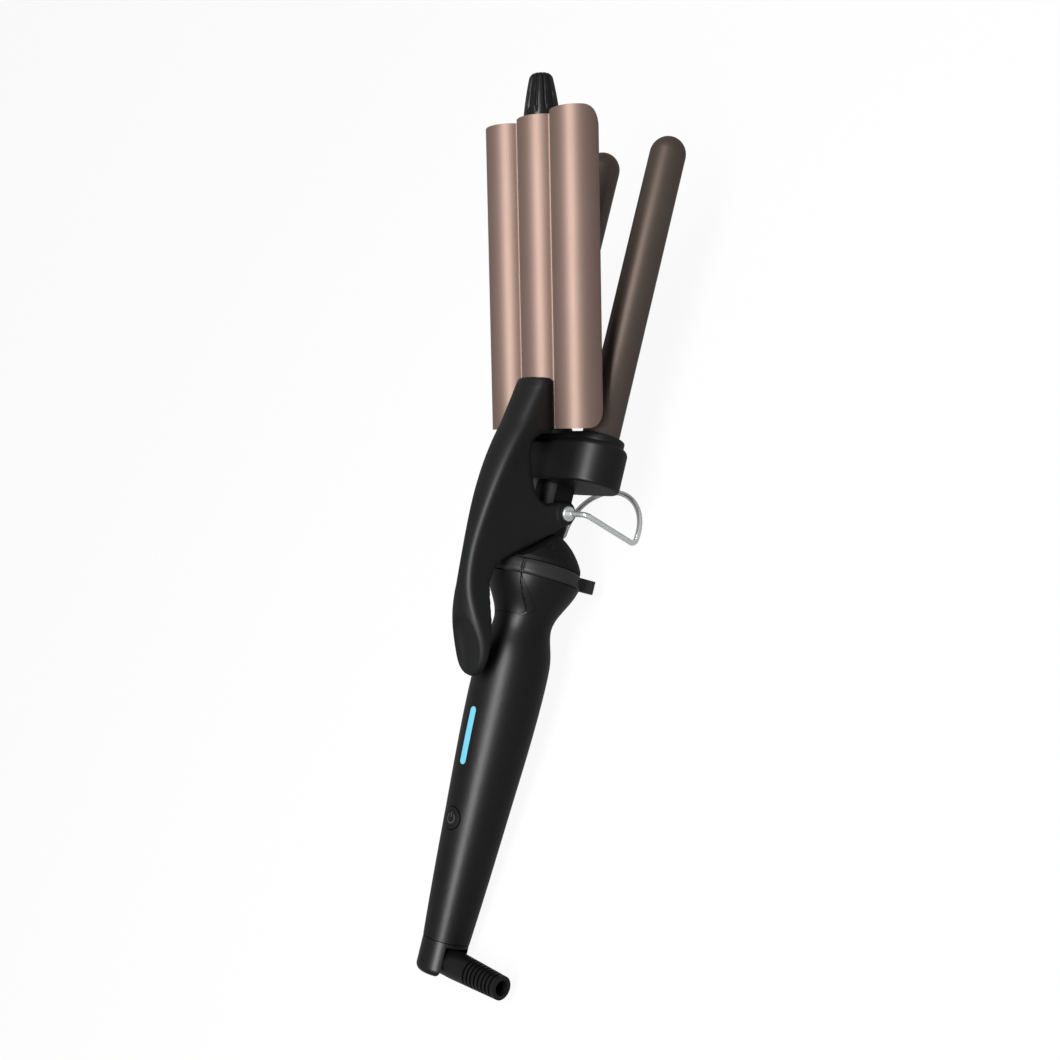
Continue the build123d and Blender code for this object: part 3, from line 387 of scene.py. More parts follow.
# Wave plate: three lobes of sheet metal on a middle tube
wavePlate = {
    "start": 33.3, "length": 119.0,
    "lobeRadius": 9.8, "pitch": 18.5, "wall": 1.2,
    "valleyRound": 0.8,
    "flankDepth": 2.9, "flankCorner": 7.5,
    "edgeRound": 0.3,
    "arcStep": 2.5,               # degrees
    "filletSteps": 5, "cornerSteps": 10,
    "ringStep": 6.0,              # between rings along the plate
    "rimAngle": 50.0,             # edges over this angle are rounded
    "sharpAngle": 40.0,           # edges over this one are shaded sharp
}


# One section of the plate: the ring of the tube, outer and bore, then each wing, outer and inner
def plateSection(flankFoot):
    outer = wavePlate["lobeRadius"]
    inner = outer - wavePlate["wall"]
    pitch = wavePlate["pitch"]
    rounding = wavePlate["valleyRound"]
    filletSteps = wavePlate["filletSteps"]
    step = radians(wavePlate["arcStep"])
    valley = sqrt((outer + rounding) ** 2 - (pitch / 2) ** 2)
    lean = atan2(valley, pitch / 2)
    webFoot = sqrt(outer**2 - (pitch / 2) ** 2) - wavePlate["wall"]
    webTurn = asin(webFoot / outer)
    crown = int((pi - 2 * lean) / step)
    belly = int((pi + 2 * webTurn) / step)
    turns = list(np.linspace(lean, pi - lean, crown + 1))
    turns += list(np.linspace(pi - webTurn, 2 * pi + webTurn, belly + 1))
    tube = [(outer * cos(turn), outer * sin(turn)) for turn in turns]
    bore = [(inner * cos(turn), inner * sin(turn)) for turn in turns]
    lobeSteps = int(pi / step)
    fillet = arcPoints((pitch / 2, valley), rounding, pi + lean, 2 * pi - lean, filletSteps)[1:]
    lobe = arcPoints((pitch, 0), outer, pi - lean, asin(flankFoot / outer), lobeSteps)[1:]
    webEnd = pitch - sqrt(inner**2 - webFoot**2)
    web = runPoints((outer * cos(webTurn), webFoot), (webEnd, webFoot), filletSteps)[1:]
    under = arcPoints((pitch, 0), inner, pi - asin(webFoot / inner), asin(flankFoot / inner), lobeSteps)[1:]
    return tube, bore, fillet + lobe, web + under, crown


def makeWavePlate():
    form = bmesh.new()
    start, length, corner = wavePlate["start"], wavePlate["length"], wavePlate["flankCorner"]
    cornerRings = [corner * (1 - cos(turn)) for turn in np.linspace(0, pi / 2, wavePlate["cornerSteps"] + 1)]
    middleCount = int((length - 2 * corner) / wavePlate["ringStep"])
    middle = list(np.linspace(corner, length - corner, middleCount + 1))[1:-1]
    stations = cornerRings + middle + [length - far for far in reversed(cornerRings)]
    rings = []
    for station in stations:
        near = min(station, length - station, corner)
        foot = -wavePlate["flankDepth"] + corner - sqrt(corner**2 - (corner - near) ** 2)
        tube, bore, outer, inner, crown = plateSection(foot)
        ring = {}
        for key, points in (("tube", tube), ("bore", bore), ("outer", outer), ("inner", inner)):
            ring[key] = [form.verts.new((start + station, y, z)) for y, z in points]
        ring["farOuter"] = [form.verts.new((start + station, -y, z)) for y, z in outer]
        ring["farInner"] = [form.verts.new((start + station, -y, z)) for y, z in inner]
        # each wing starts on the tube, at the valley above and at the web's foot below
        ring["outer"].insert(0, ring["tube"][0])
        ring["inner"].insert(0, ring["tube"][-1])
        ring["farOuter"].insert(0, ring["tube"][crown])
        ring["farInner"].insert(0, ring["tube"][crown + 1])
        rings.append(ring)
    for near, far in zip(rings, rings[1:]):
        bridge(form, near["tube"], far["tube"], closed=False, skipped=crown)
        bridge(form, near["bore"], far["bore"])
        bridge(form, near["outer"], far["outer"], closed=False)
        bridge(form, far["inner"], near["inner"], closed=False)
        bridge(form, far["farOuter"], near["farOuter"], closed=False)
        bridge(form, near["farInner"], far["farInner"], closed=False)
        for outer, inner in (("outer", "inner"), ("farOuter", "farInner")):
            form.faces.new((near[outer][-1], near[inner][-1], far[inner][-1], far[outer][-1]))
    for ring in (rings[0], rings[-1]):
        bridge(form, ring["tube"], ring["bore"])
        bridge(form, ring["outer"], ring["inner"], closed=False)
        bridge(form, ring["farOuter"], ring["farInner"], closed=False)
    bmesh.ops.recalc_face_normals(form, faces=form.faces)
    rims = [edge for edge in form.edges if edge.calc_face_angle(0) > radians(wavePlate["rimAngle"])]
    bmesh.ops.bevel(
        form, geom=rims, offset=wavePlate["edgeRound"], segments=2, profile=0.5, affect="EDGES",
        clamp_overlap=True,
    )
    piece = addPiece("wavePlate", form, onClamp, "rosePlate", wavePlate["sharpAngle"])
    join(piece, "clamp", "wave_plate", "wave_plate")


makeWavePlate()
print("wave plate drawn")

# Thumb lever: the moulding's own form, carried on to the end of its tab and softened
thumbLever = {
    "voxel": 0.42,
    "softening": 3, "lastSoftening": 2,       # passes over the whole moulding, before the dish and after it
    "ridgeHeight": 5.0, "ridgeFrom": -26.0,   # above this and ahead of this, the ridge gets passes of its own
    "ridgePasses": 30,
    "ridgeClear": 1.2, "ridgeShort": 1.5,     # it stays this far off the tube, and short of the foot's corner
    "tubeRadius": 9.9,            # of the seat on the middle tube
    "draft": (10.3, 0.115),       # half width at the hinge's height, and what each mm above takes off
    "footStart": 33.5, "footEnd": 53.3, "footHalf": 9.15, "footLow": 4.4,
    "footCorner": 2.2, "footCover": 0.06,     # least wall over the seat
    "footBearings": 49, "footStations": 14, "footCornerSteps": 7,
    "footRounds": 4,              # in which the draft and the reach settle on each other
    "ridge": ((38.0, 20.0), (53.3, 11.0)),
    "crown": 12.5,
    "shoulder": 11.0,             # power that blends the foot's side into its top
    "notch": ((4.0, 8.5), (6.9, 12.4), (10.5, 14.6), (16.0, 15.6), (24.0, 16.2), (28.6, 15.0), (24.0, 18.6),
              (10.3, 18.6), (4.2, 14.0)),
    "notchWall": (5.95, 8.5),
    "dishMiddle": -46.9, "dishHalfLength": 11.6, "dishHalfWidth": 7.3,
    "dishDepth": 1.15, "dishRim": 0.34, "dishPasses": 12,
    "dishFrom": 38.0, "dishFacing": 0.3,      # only skin above this that faces up is sunk
    "bossReach": 8.6, "bossBore": 3.3, "bossFrom": 8.4, "bossPasses": 22,
    "sharpAngle": 60.0,
}


# Distance from the tube's axis out to the foot's skin, over one station and along one bearing
def footReach(station, bearing):
    (nearX, nearZ), (farX, farZ) = thumbLever["ridge"]
    top = nearZ + (station - nearX) * (farZ - nearZ) / (farX - nearX)
    crown = thumbLever["crown"]
    centre = top - crown
    roof = centre * sin(bearing) + sqrt(crown**2 - (centre * cos(bearing)) ** 2)
    past = max(0.0, station - thumbLever["footEnd"] + thumbLever["footCorner"])
    cut = thumbLever["footCorner"] - sqrt(thumbLever["footCorner"] ** 2 - past**2)
    base, draft = thumbLever["draft"]
    reach = roof
    for _ in range(thumbLever["footRounds"]):
        half = min(thumbLever["footHalf"], base - draft * reach * sin(bearing)) - cut
        side = half / max(abs(cos(bearing)), 0.001)
        power = thumbLever["shoulder"]
        reach = (side**-power + roof**-power) ** (-1 / power)
    return max(reach, thumbLever["tubeRadius"] + thumbLever["footCover"])


def addFoot(form):
    start, end, corner = thumbLever["footStart"], thumbLever["footEnd"], thumbLever["footCorner"]
    radius = thumbLever["tubeRadius"]
    low = asin(thumbLever["footLow"] / radius)
    bearings = np.linspace(low, pi - low, thumbLever["footBearings"])
    stations = list(np.linspace(start, end - corner, thumbLever["footStations"]))
    turns = np.linspace(0, pi / 2, thumbLever["footCornerSteps"] + 1)[1:]
    stations += [end - corner * (1 - sin(turn)) for turn in turns]
    loops = []
    for station in stations:
        skin = [(footReach(station, turn), turn) for turn in bearings]
        seat = [(radius, turn) for turn in bearings[::-1]]
        loops.append([
            form.verts.new((station, reach * cos(turn), reach * sin(turn))) for reach, turn in skin + seat
        ])
    for near, far in zip(loops, loops[1:]):
        bridge(form, near, far)
    half = len(bearings)
    for loop in (loops[0], loops[-1]):
        bridge(form, loop[:half], loop[:half - 1:-1], closed=False)


# Walls that bring the notch closer to the block, one on each side
def addNotchWalls(form):
    inner, outer = thumbLever["notchWall"]
    for side in (-1, 1):
        outline = thumbLever["notch"]
        loft(form, [[form.verts.new((x, side * y, z)) for x, z in outline] for y in (inner, outer)])


def soften(form, verts, passes):
    for _ in range(passes):
        bmesh.ops.smooth_vert(
            form, verts=verts, factor=0.5, use_axis_x=True, use_axis_y=True, use_axis_z=True
        )


def sinkDish(form):
    form.normal_update()
    rim = []
    for vert in form.verts:
        if vert.co.z < thumbLever["dishFrom"] or vert.normal.z < thumbLever["dishFacing"]:
            continue
        along = (vert.co.x - thumbLever["dishMiddle"]) / thumbLever["dishHalfLength"]
        inside = 1 - along**2 - (vert.co.y / thumbLever["dishHalfWidth"]) ** 2
        share = min(1.0, max(0.0, inside / thumbLever["dishRim"]))
        vert.co.z -= thumbLever["dishDepth"] * share * share * (3 - 2 * share)
        if inside > -thumbLever["dishRim"]:
            rim.append(vert)
    soften(form, rim, thumbLever["dishPasses"])


def makeThumbLever():
    form = mergedCopy("clamp_lever", onClamp)
    addFoot(form)
    addNotchWalls(form)
    bmesh.ops.recalc_face_normals(form, faces=form.faces)
    worker = addObject("leverForm", meshOf("leverForm", form))
    skin = worker.modifiers.new("skin", "REMESH")
    skin.mode = "VOXEL"
    skin.voxel_size = thumbLever["voxel"]
    mesh = settle("thumbLever", worker, Matrix.Identity(4))
    form = bmesh.new()
    form.from_mesh(mesh)
    boss = [
        vert for vert in form.verts
        if thumbLever["bossBore"] < hypot(vert.co.x, vert.co.z) < thumbLever["bossReach"]
        and abs(vert.co.y) > thumbLever["bossFrom"]
    ]
    soften(form, boss, thumbLever["bossPasses"])
    clear = thumbLever["tubeRadius"] + thumbLever["ridgeClear"]
    ridgeEnd = thumbLever["footEnd"] - thumbLever["footCorner"] - thumbLever["ridgeShort"]
    ridge = [
        vert for vert in form.verts
        if vert.co.z > thumbLever["ridgeHeight"] and hypot(vert.co.y, vert.co.z) > clear
        and thumbLever["ridgeFrom"] < vert.co.x < ridgeEnd
    ]
    soften(form, ridge, thumbLever["ridgePasses"])
    soften(form, form.verts, thumbLever["softening"])
    sinkDish(form)
    soften(form, form.verts, thumbLever["lastSoftening"])
    form.transform(onClamp)
    form.to_mesh(mesh)
    form.free()
    piece = addMesh("thumbLever", mesh, "satinBlack", thumbLever["sharpAngle"])
    join(piece, "clamp", "black_satin", "clamp_lever")
    print("lever skin:", len(mesh.polygons))


makeThumbLever()

# Collars: two halves of one low step on the block, each with its barrel's hole
collars = {
    "foot": 28.0, "height": 2.95,
    "radius": 9.9, "bore": 7.5, "pitch": 18.5,
    "edgeRound": 0.7,
    "meeting": 0.04,              # half of the gap between the two halves
    "arcSteps": 40, "meetingSteps": 16,
    "rimAngle": 60.0, "sharpAngle": 35.0,
    "reached": 0.01,              # nearer than this to a line is on it
}


def makeCollar(name, node, side):
    form = bmesh.new()
    pitch, radius, meeting = collars["pitch"], collars["radius"], collars["meeting"]
    arc = arcPoints((pitch, 0), radius, -pi / 2, pi / 2, collars["arcSteps"])
    top = runPoints((pitch, radius), (meeting, radius), int(pitch))[1:]
    inner = runPoints((meeting, radius), (meeting, -radius), collars["meetingSteps"])[1:-1]
    foot = [(y, -radius) for y, _ in reversed(top)]
    outline = arc + top + inner + foot
    turns = [atan2(z, y - pitch) for y, z in outline]
    bore = [(pitch + collars["bore"] * cos(turn), collars["bore"] * sin(turn)) for turn in turns]
    levels = (collars["foot"], collars["foot"] + collars["height"])
    skins = [[form.verts.new((x, side * y, z)) for y, z in outline] for x in levels]
    holes = [[form.verts.new((x, side * y, z)) for y, z in bore] for x in levels]
    bridge(form, *skins)
    bridge(form, *holes)
    for skin, hole in zip(skins, holes):
        bridge(form, skin, hole)
    bmesh.ops.recalc_face_normals(form, faces=form.faces)
    reached = collars["reached"]
    rim = [
        edge for edge in form.edges
        if edge.calc_face_angle(0) > radians(collars["rimAngle"])
        and all(vert.co.x > levels[1] - reached for vert in edge.verts)
        and all(abs(abs(vert.co.y) - meeting) > reached for vert in edge.verts)
        and all(hypot(abs(vert.co.y) - pitch, vert.co.z) > radius - reached for vert in edge.verts)
    ]
    bmesh.ops.bevel(form, geom=rim, offset=collars["edgeRound"], segments=4, profile=0.5, affect="EDGES")
    # the collars take the block's darkened black, a painted shade
    piece = addPiece(name, form, onHandle, "blockBlackPaintedShade", collars["sharpAngle"])
    join(piece, "handle", "soft_touch", node)


makeCollar("collarLeft", "collar_left", 1)
makeCollar("collarRight", "collar_right", -1)
print("collars drawn")

# Grooves: fine lines cut into a copy of a CAD node
plumbHeight = 40.0                # above every skin that is looked down on, in mm


def skinOf(node):
    form = mergedCopy(node, onHandle)
    skin = BVHTree.FromBMesh(form)
    form.free()
    return skin


# Where a skin lies below a place on its plan, and the bearing there out of the tool's axis
def skinUnder(skin, x, y):
    place = skin.ray_cast(Vector((x, y, plumbHeight)), Vector((0, 0, -1)))[0]
    return (place, Vector((0, place.y, place.z)).normalized()) if place else None


# A strip that follows a line over a skin, sunk to its depth
def addStrip(cutters, line, width, depth, closed=False):
    count = len(line)
    loops = []
    for index, (place, normal) in enumerate(line):
        before = line[index - 1][0] if closed or index else place
        after = line[(index + 1) % count][0] if closed or index < count - 1 else place
        side = (after - before).normalized().cross(normal).normalized() * width / 2
        loops.append([
            cutters.verts.new(place + side * across + normal * lift)
            for across, lift in ((-1, width), (1, width), (1, -depth), (-1, -depth))
        ])
    loft(cutters, loops, closed)


def addBlock(form, size, matrix):
    corners = bmesh.ops.create_cube(form, size=1.0)["verts"]
    bmesh.ops.transform(form, matrix=matrix @ Matrix.Diagonal((*size, 1.0)), verts=corners)


# The node's own form with the cutters taken out of it, set on the tool
def carve(node, name, cutters):
    bmesh.ops.recalc_face_normals(cutters, faces=cutters.faces)
    tool = addObject(name + "Cuts", meshOf(name + "Cuts", cutters))
    worker = addObject(name + "Form", meshOf(name + "Form", mergedCopy(node, onHandle)))
    difference = worker.modifiers.new("cuts", "BOOLEAN")
    difference.operation = "DIFFERENCE"
    difference.solver = "EXACT"
    difference.use_self = True
    difference.object = tool
    mesh = settle(name, worker, onHandle)
    bpy.data.objects.remove(tool)
    return mesh


# Selector ring: a line down each side, a seam along its foot, and grips across its tab
selectorRing = {
    "lineWidth": 0.45, "lineDepth": 0.5, "lineSteps": 14,
    "lineFrom": (-21.5, 8.9), "lineTo": (-28.4, 9.95),
    "seamStation": -27.75, "seamRadius": 18.42, "seamWidth": 0.5, "seamDepth": 0.6, "seamCount": 144,
    "tabMiddle": -24.9, "tabLength": 8.0,
    "tabBearing": 148.0, "tabStart": 20.0, "tabEnd": 24.6, "tabHalf": 1.7,
    "gripCount": 5, "gripWidth": 0.35, "gripDepth": 0.3, "gripTall": 1.0,
    "gripOffset": 0.7,            # of the first grip from the tab's start, as a share of their pitch
    "sharpAngle": 25.0,
}


def addSideLine(cutters, skin, side):
    spots = runPoints(selectorRing["lineFrom"], selectorRing["lineTo"], selectorRing["lineSteps"])
    line = [spot for spot in (skinUnder(skin, x, side * y) for x, y in spots) if spot]
    # both ends run on past the ring's edges
    over = (line[0][0] - line[1][0]).normalized() * selectorRing["lineDepth"]
    line.insert(0, (line[0][0] + over, line[0][1]))
    over = (line[-1][0] - line[-2][0]).normalized() * selectorRing["lineDepth"]
    line.append((line[-1][0] + over, line[-1][1]))
    addStrip(cutters, line, selectorRing["lineWidth"], selectorRing["lineDepth"])


def addSeam(cutters):
    seam = []
    for turn in np.linspace(0, 2 * pi, selectorRing["seamCount"], endpoint=False):
        out = Vector((0, -sin(turn), cos(turn)))
        seam.append((Vector((selectorRing["seamStation"], 0, 0)) + out * selectorRing["seamRadius"], out))
    addStrip(cutters, seam, selectorRing["seamWidth"], selectorRing["seamDepth"], closed=True)


def addGrips(cutters):
    bearing = radians(selectorRing["tabBearing"])
    along = Vector((0, -sin(bearing), cos(bearing)))
    across = Vector((1, 0, 0)).cross(along)
    facing = Matrix(((1, 0, 0), tuple(across), tuple(along))).transposed().to_4x4()
    toTab = Matrix.Translation((selectorRing["tabMiddle"], 0, 0)) @ facing
    reach = selectorRing["tabEnd"] - selectorRing["tabStart"]
    tall = selectorRing["gripTall"]
    away = selectorRing["tabHalf"] + tall / 2 - selectorRing["gripDepth"]
    for grip in range(selectorRing["gripCount"]):
        share = (grip + selectorRing["gripOffset"]) / selectorRing["gripCount"]
        height = selectorRing["tabStart"] + reach * share
        for side in (-1, 1):
            out = Matrix.Translation((0, side * away, height))
            addBlock(cutters, (selectorRing["tabLength"], tall, selectorRing["gripWidth"]), toTab @ out)


def makeSelectorRing():
    skin = skinOf("selector_ring")
    cutters = bmesh.new()
    for side in (-1, 1):
        addSideLine(cutters, skin, side)
    addSeam(cutters)
    addGrips(cutters)
    mesh = carve("selector_ring", "selectorRing", cutters)
    # the ring takes the paled black, a painted highlight
    piece = addMesh("selectorRing", mesh, "ringBlackPaintedHighlight", selectorRing["sharpAngle"])
    join(piece, "selector", "black_satin", "selector_ring")


makeSelectorRing()
print("selector ring cut")

# Panel inlay: its own form, with a fine line that frames it
panelInlay = {
    "lineWidth": 0.45, "lineDepth": 0.55,
    "top": (-27.2, 9.95), "waist": (-35.0, 9.45), "foot": (-40.4, 9.55), "end": -43.0, "corner": 2.6,
    "sideSteps": 8, "footSteps": 5, "sharpAngle": 30.0,
}


def makePanelInlay():
    skin = skinOf("panel_inlay")
    waist, foot = panelInlay["waist"], panelInlay["foot"]
    end, corner = panelInlay["end"], panelInlay["corner"]
    steps = panelInlay["sideSteps"]
    middle = (end + corner, foot[1] - corner)
    half = runPoints(panelInlay["top"], waist, steps)
    half += runPoints(waist, foot, panelInlay["footSteps"])[1:]
    half += arcPoints(middle, corner, pi / 2, pi, steps)[1:]
    half += runPoints((end, middle[1]), (end, 0.0), steps)[1:]
    route = half + [(x, -y) for x, y in half[-2::-1]]
    line = [spot for spot in (skinUnder(skin, x, y) for x, y in route) if spot]
    cutters = bmesh.new()
    addStrip(cutters, line, panelInlay["lineWidth"], panelInlay["lineDepth"])
    mesh = carve("panel_inlay", "panelInlay", cutters)
    piece = addMesh("panelInlay", mesh, "softTouch", panelInlay["sharpAngle"])
    join(piece, "handle", "gloss_black", "panel_inlay")


makePanelInlay()
print("panel inlay lined")

# Power mark: a broken ring and a bar, laid on the button's own skin
powerMark = {
    "station": -123.3,
    "radius": 1.85, "width": 0.36, "ringSteps": 48,
    "gap": 76.0,                  # degrees left open at the top
    "barFoot": 0.2, "barTop": 2.3, "barSteps": 8,
    "proud": 0.03, "thickness": 0.08, "sharpAngle": 40.0,
}


def makePowerMark():
    skin = skinOf("power_button")
    form = bmesh.new()
    radius, half, gap = powerMark["radius"], powerMark["width"] / 2, radians(powerMark["gap"]) / 2
    edges = (-half, half)
    ring = [arcPoints((0, 0), radius + edge, gap, 2 * pi - gap, powerMark["ringSteps"]) for edge in edges]
    foot, top = powerMark["barFoot"], powerMark["barTop"]
    bar = [runPoints((foot, edge), (top, edge), powerMark["barSteps"]) for edge in edges]
    upper = Vector((0, 0, powerMark["proud"]))
    lower = Vector((0, 0, powerMark["proud"] - powerMark["thickness"]))
    for mark in (ring, bar):
        loops = []
        for pair in zip(*mark):
            inner, outer = (skinUnder(skin, powerMark["station"] + x, y)[0] for x, y in pair)
            corners = (inner + upper, outer + upper, outer + lower, inner + lower)
            loops.append([form.verts.new(corner) for corner in corners])
        loft(form, loops)
    piece = addPiece("powerMark", form, onHandle, "printGrey", powerMark["sharpAngle"])
    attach(piece, "button")


makePowerMark()
print("power mark laid")


# Node trees that shape meshes: one input for each size, by its name, and one for the finish
def shapeTree(name, sizes):
    tree = bpy.data.node_groups.new(name, "GeometryNodeTree")
    tree.interface.new_socket("Geometry", in_out="INPUT", socket_type="NodeSocketGeometry")
    for label in sizes:
        tree.interface.new_socket(label, in_out="INPUT", socket_type="NodeSocketFloat")
    tree.interface.new_socket("Finish", in_out="INPUT", socket_type="NodeSocketMaterial")
    tree.interface.new_socket("Geometry", in_out="OUTPUT", socket_type="NodeSocketGeometry")
    return tree, addNode(tree, "NodeGroupInput").outputs


# Every tree ends the same way: real geometry, in its finish
def endTree(tree, takes, geometry):
    real = addNode(tree, "GeometryNodeRealizeInstances", {"Geometry": geometry})
    coat = addNode(tree, "GeometryNodeSetMaterial", {
        "Geometry": real.outputs["Geometry"], "Material": takes["Finish"],
    })
    addNode(tree, "NodeGroupOutput", {"Geometry": coat.outputs["Geometry"]})
    return tree


def setModifier(worker, tree, values):
    shaper = worker.modifiers.new(tree.name, "NODES")
    shaper.node_group = tree
    for item in tree.interface.items_tree:
        if item.item_type == "SOCKET" and item.in_out == "INPUT" and item.name in values:
            shaper[item.identifier] = values[item.name]


def position(tree):
    place = addNode(tree, "GeometryNodeInputPosition").outputs["Position"]
    return addNode(tree, "ShaderNodeSeparateXYZ", {"Vector": place}).outputs


def combined(tree, axes):
    return addNode(tree, "ShaderNodeCombineXYZ", axes).outputs["Vector"]


def lifted(tree, geometry, height):
    return addNode(tree, "GeometryNodeTransform", {
        "Geometry": geometry, "Translation": combined(tree, {"Z": height}),
    }).outputs["Geometry"]


def cylinder(tree, radius, depth, counts, **settings):
    node = addNode(tree, "GeometryNodeMeshCylinder", **settings)
    feed(tree, node, {"Radius": radius, "Depth": depth, **counts})
    return node.outputs["Mesh"]


# Cool tip: a waisted cone with flutes that run out above its foot
coolTip = {
    "start": 152.3,
    "sizes": {
        "Length": 17.3, "Base Radius": 7.2, "Waist Radius": 6.0, "Top Radius": 4.2, "Top Round": 1.8,
        "Flutes": 12.0, "Flute Depth": 0.5, "Flute Width": 1.25, "Bare Foot": 1.6, "Run Out": 2.4,
        "Plug Radius": 8.5, "Plug Length": 8.0,
    },
    "around": 240, "along": 72, "faceRings": 4, "plugAround": 120, "sharpAngle": 40.0,
}


def buildTipTree():
    tree, size = shapeTree("flutedTip", coolTip["sizes"])
    calc = partial(mathNode, tree)
    blank = cylinder(
        tree, 1.0, size["Length"],
        {
            "Vertices": coolTip["around"], "Side Segments": coolTip["along"],
            "Fill Segments": coolTip["faceRings"],
        },
        fill_type="TRIANGLE_FAN",
    )
    spot = position(tree)
    height = calc("ADD", spot["Z"], calc("MULTIPLY", size["Length"], 0.5))
    rise = calc("DIVIDE", height, size["Length"])
    # a parabola through the base, waist and top radii
    sag = calc("SUBTRACT", calc("ADD", size["Base Radius"], size["Top Radius"]),
               calc("MULTIPLY", size["Waist Radius"], 2.0))
    bend = calc("MULTIPLY", sag, 2.0)
    slope = calc("SUBTRACT", calc("SUBTRACT", size["Top Radius"], size["Base Radius"]), bend)
    side = calc("ADD", size["Base Radius"], calc("MULTIPLY", rise, calc("MULTIPLY_ADD", bend, rise, slope)))
    # the rim at the top turns over on a quarter circle
    left = calc("SUBTRACT", size["Length"], height)
    inRound = calc("MAXIMUM", calc("SUBTRACT", size["Top Round"], left), 0.0)
    chord = calc("SQRT", calc("SUBTRACT", calc("MULTIPLY", size["Top Round"], size["Top Round"]),
                              calc("MULTIPLY", inRound, inRound)))
    rimmed = calc("ADD", calc("SUBTRACT", side, size["Top Round"]), chord)
    # flutes: distance from the nearest flute's middle, along the girth
    turn = calc("ARCTAN2", spot["Y"], spot["X"])
    pitch = calc("DIVIDE", 2 * pi, size["Flutes"])
    off = calc("PINGPONG", turn, calc("MULTIPLY", pitch, 0.5))
    across = calc("DIVIDE", calc("MULTIPLY", off, side), calc("MULTIPLY", size["Flute Width"], 0.5))
    hollow = calc("MAXIMUM", calc("SUBTRACT", 1.0, calc("MULTIPLY", across, across)), 0.0)
    begin = calc("DIVIDE", calc("SUBTRACT", height, size["Bare Foot"]), size["Run Out"])
    fade = addNode(tree, "ShaderNodeClamp", {"Value": begin}).outputs["Result"]
    cut = calc("MULTIPLY", calc("MULTIPLY", hollow, size["Flute Depth"]), fade)
    reach = calc("SUBTRACT", rimmed, cut)
    placed = combined(tree, {
        "X": calc("MULTIPLY", spot["X"], reach), "Y": calc("MULTIPLY", spot["Y"], reach), "Z": height,
    })
    shaped = addNode(tree, "GeometryNodeSetPosition", {"Geometry": blank, "Position": placed})
    plug = cylinder(tree, size["Plug Radius"], size["Plug Length"], {"Vertices": coolTip["plugAround"]})
    sunk = lifted(tree, plug, calc("MULTIPLY", size["Plug Length"], -0.5))
    both = addNode(tree, "GeometryNodeJoinGeometry", {"Geometry": [shaped.outputs["Geometry"], sunk]})
    return endTree(tree, size, both.outputs["Geometry"])


def makeCoolTip():
    worker = addObject("tipForm", bpy.data.meshes.new("tipForm"))
    setModifier(worker, buildTipTree(), {**coolTip["sizes"], "Finish": finishes["tipBlack"]})
    toTip = onClamp @ Matrix.Translation((coolTip["start"], 0, 0)) @ Matrix.Rotation(pi / 2, 4, "Y")
    mesh = settle("coolTip", worker, toTip)
    piece = addMesh("coolTip", mesh, "tipBlack", coolTip["sharpAngle"])
    join(piece, "clamp", "black_satin", "cool_tip")


makeCoolTip()
print("cool tip drawn")

# Screws: pan heads with a cross recess, set where their nodes are
screws = {
    "head": {
        "Recess Width": 0.34, "Recess Reach": 1.25,   # shares of the head's radius
        "Recess Depth": 0.55,                         # share of the head's height
        "Crown": 0.28,                                # share of the head's height that its dome takes
    },
    "domePower": 3.0,
    "around": 40, "sideRings": 2, "faceRings": 6, "shankAround": 24, "sharpAngle": 30.0,
    "reach": 3.0,                 # from a seat's middle, in which all of its own screw lies
}
screwSets = {
    "handleScrews": {
        "node": "handle_screws", "body": "handle", "matrix": onHandle, "seats": [(-59.0, 0.0), (-152.0, 0.0)],
        "sizes": {"Head Radius": 2.3, "Head Height": 1.3, "Shank Radius": 1.1, "Shank Length": 15.0},
    },
    "blockScrews": {
        "node": "block_screws", "body": "handle", "matrix": onHandle, "seats": [(19.35, -3.4), (19.35, 3.4)],
        "sizes": {"Head Radius": 2.3, "Head Height": 1.3, "Shank Radius": 1.1, "Shank Length": 7.5},
    },
    "tubeScrews": {
        "node": "tube_screws", "body": "clamp", "matrix": onClamp, "seats": [(37.3, 0.0), (42.3, 0.0)],
        "sizes": {"Head Radius": 1.9, "Head Height": 0.8, "Shank Radius": 1.1, "Shank Length": 4.3},
    },
}


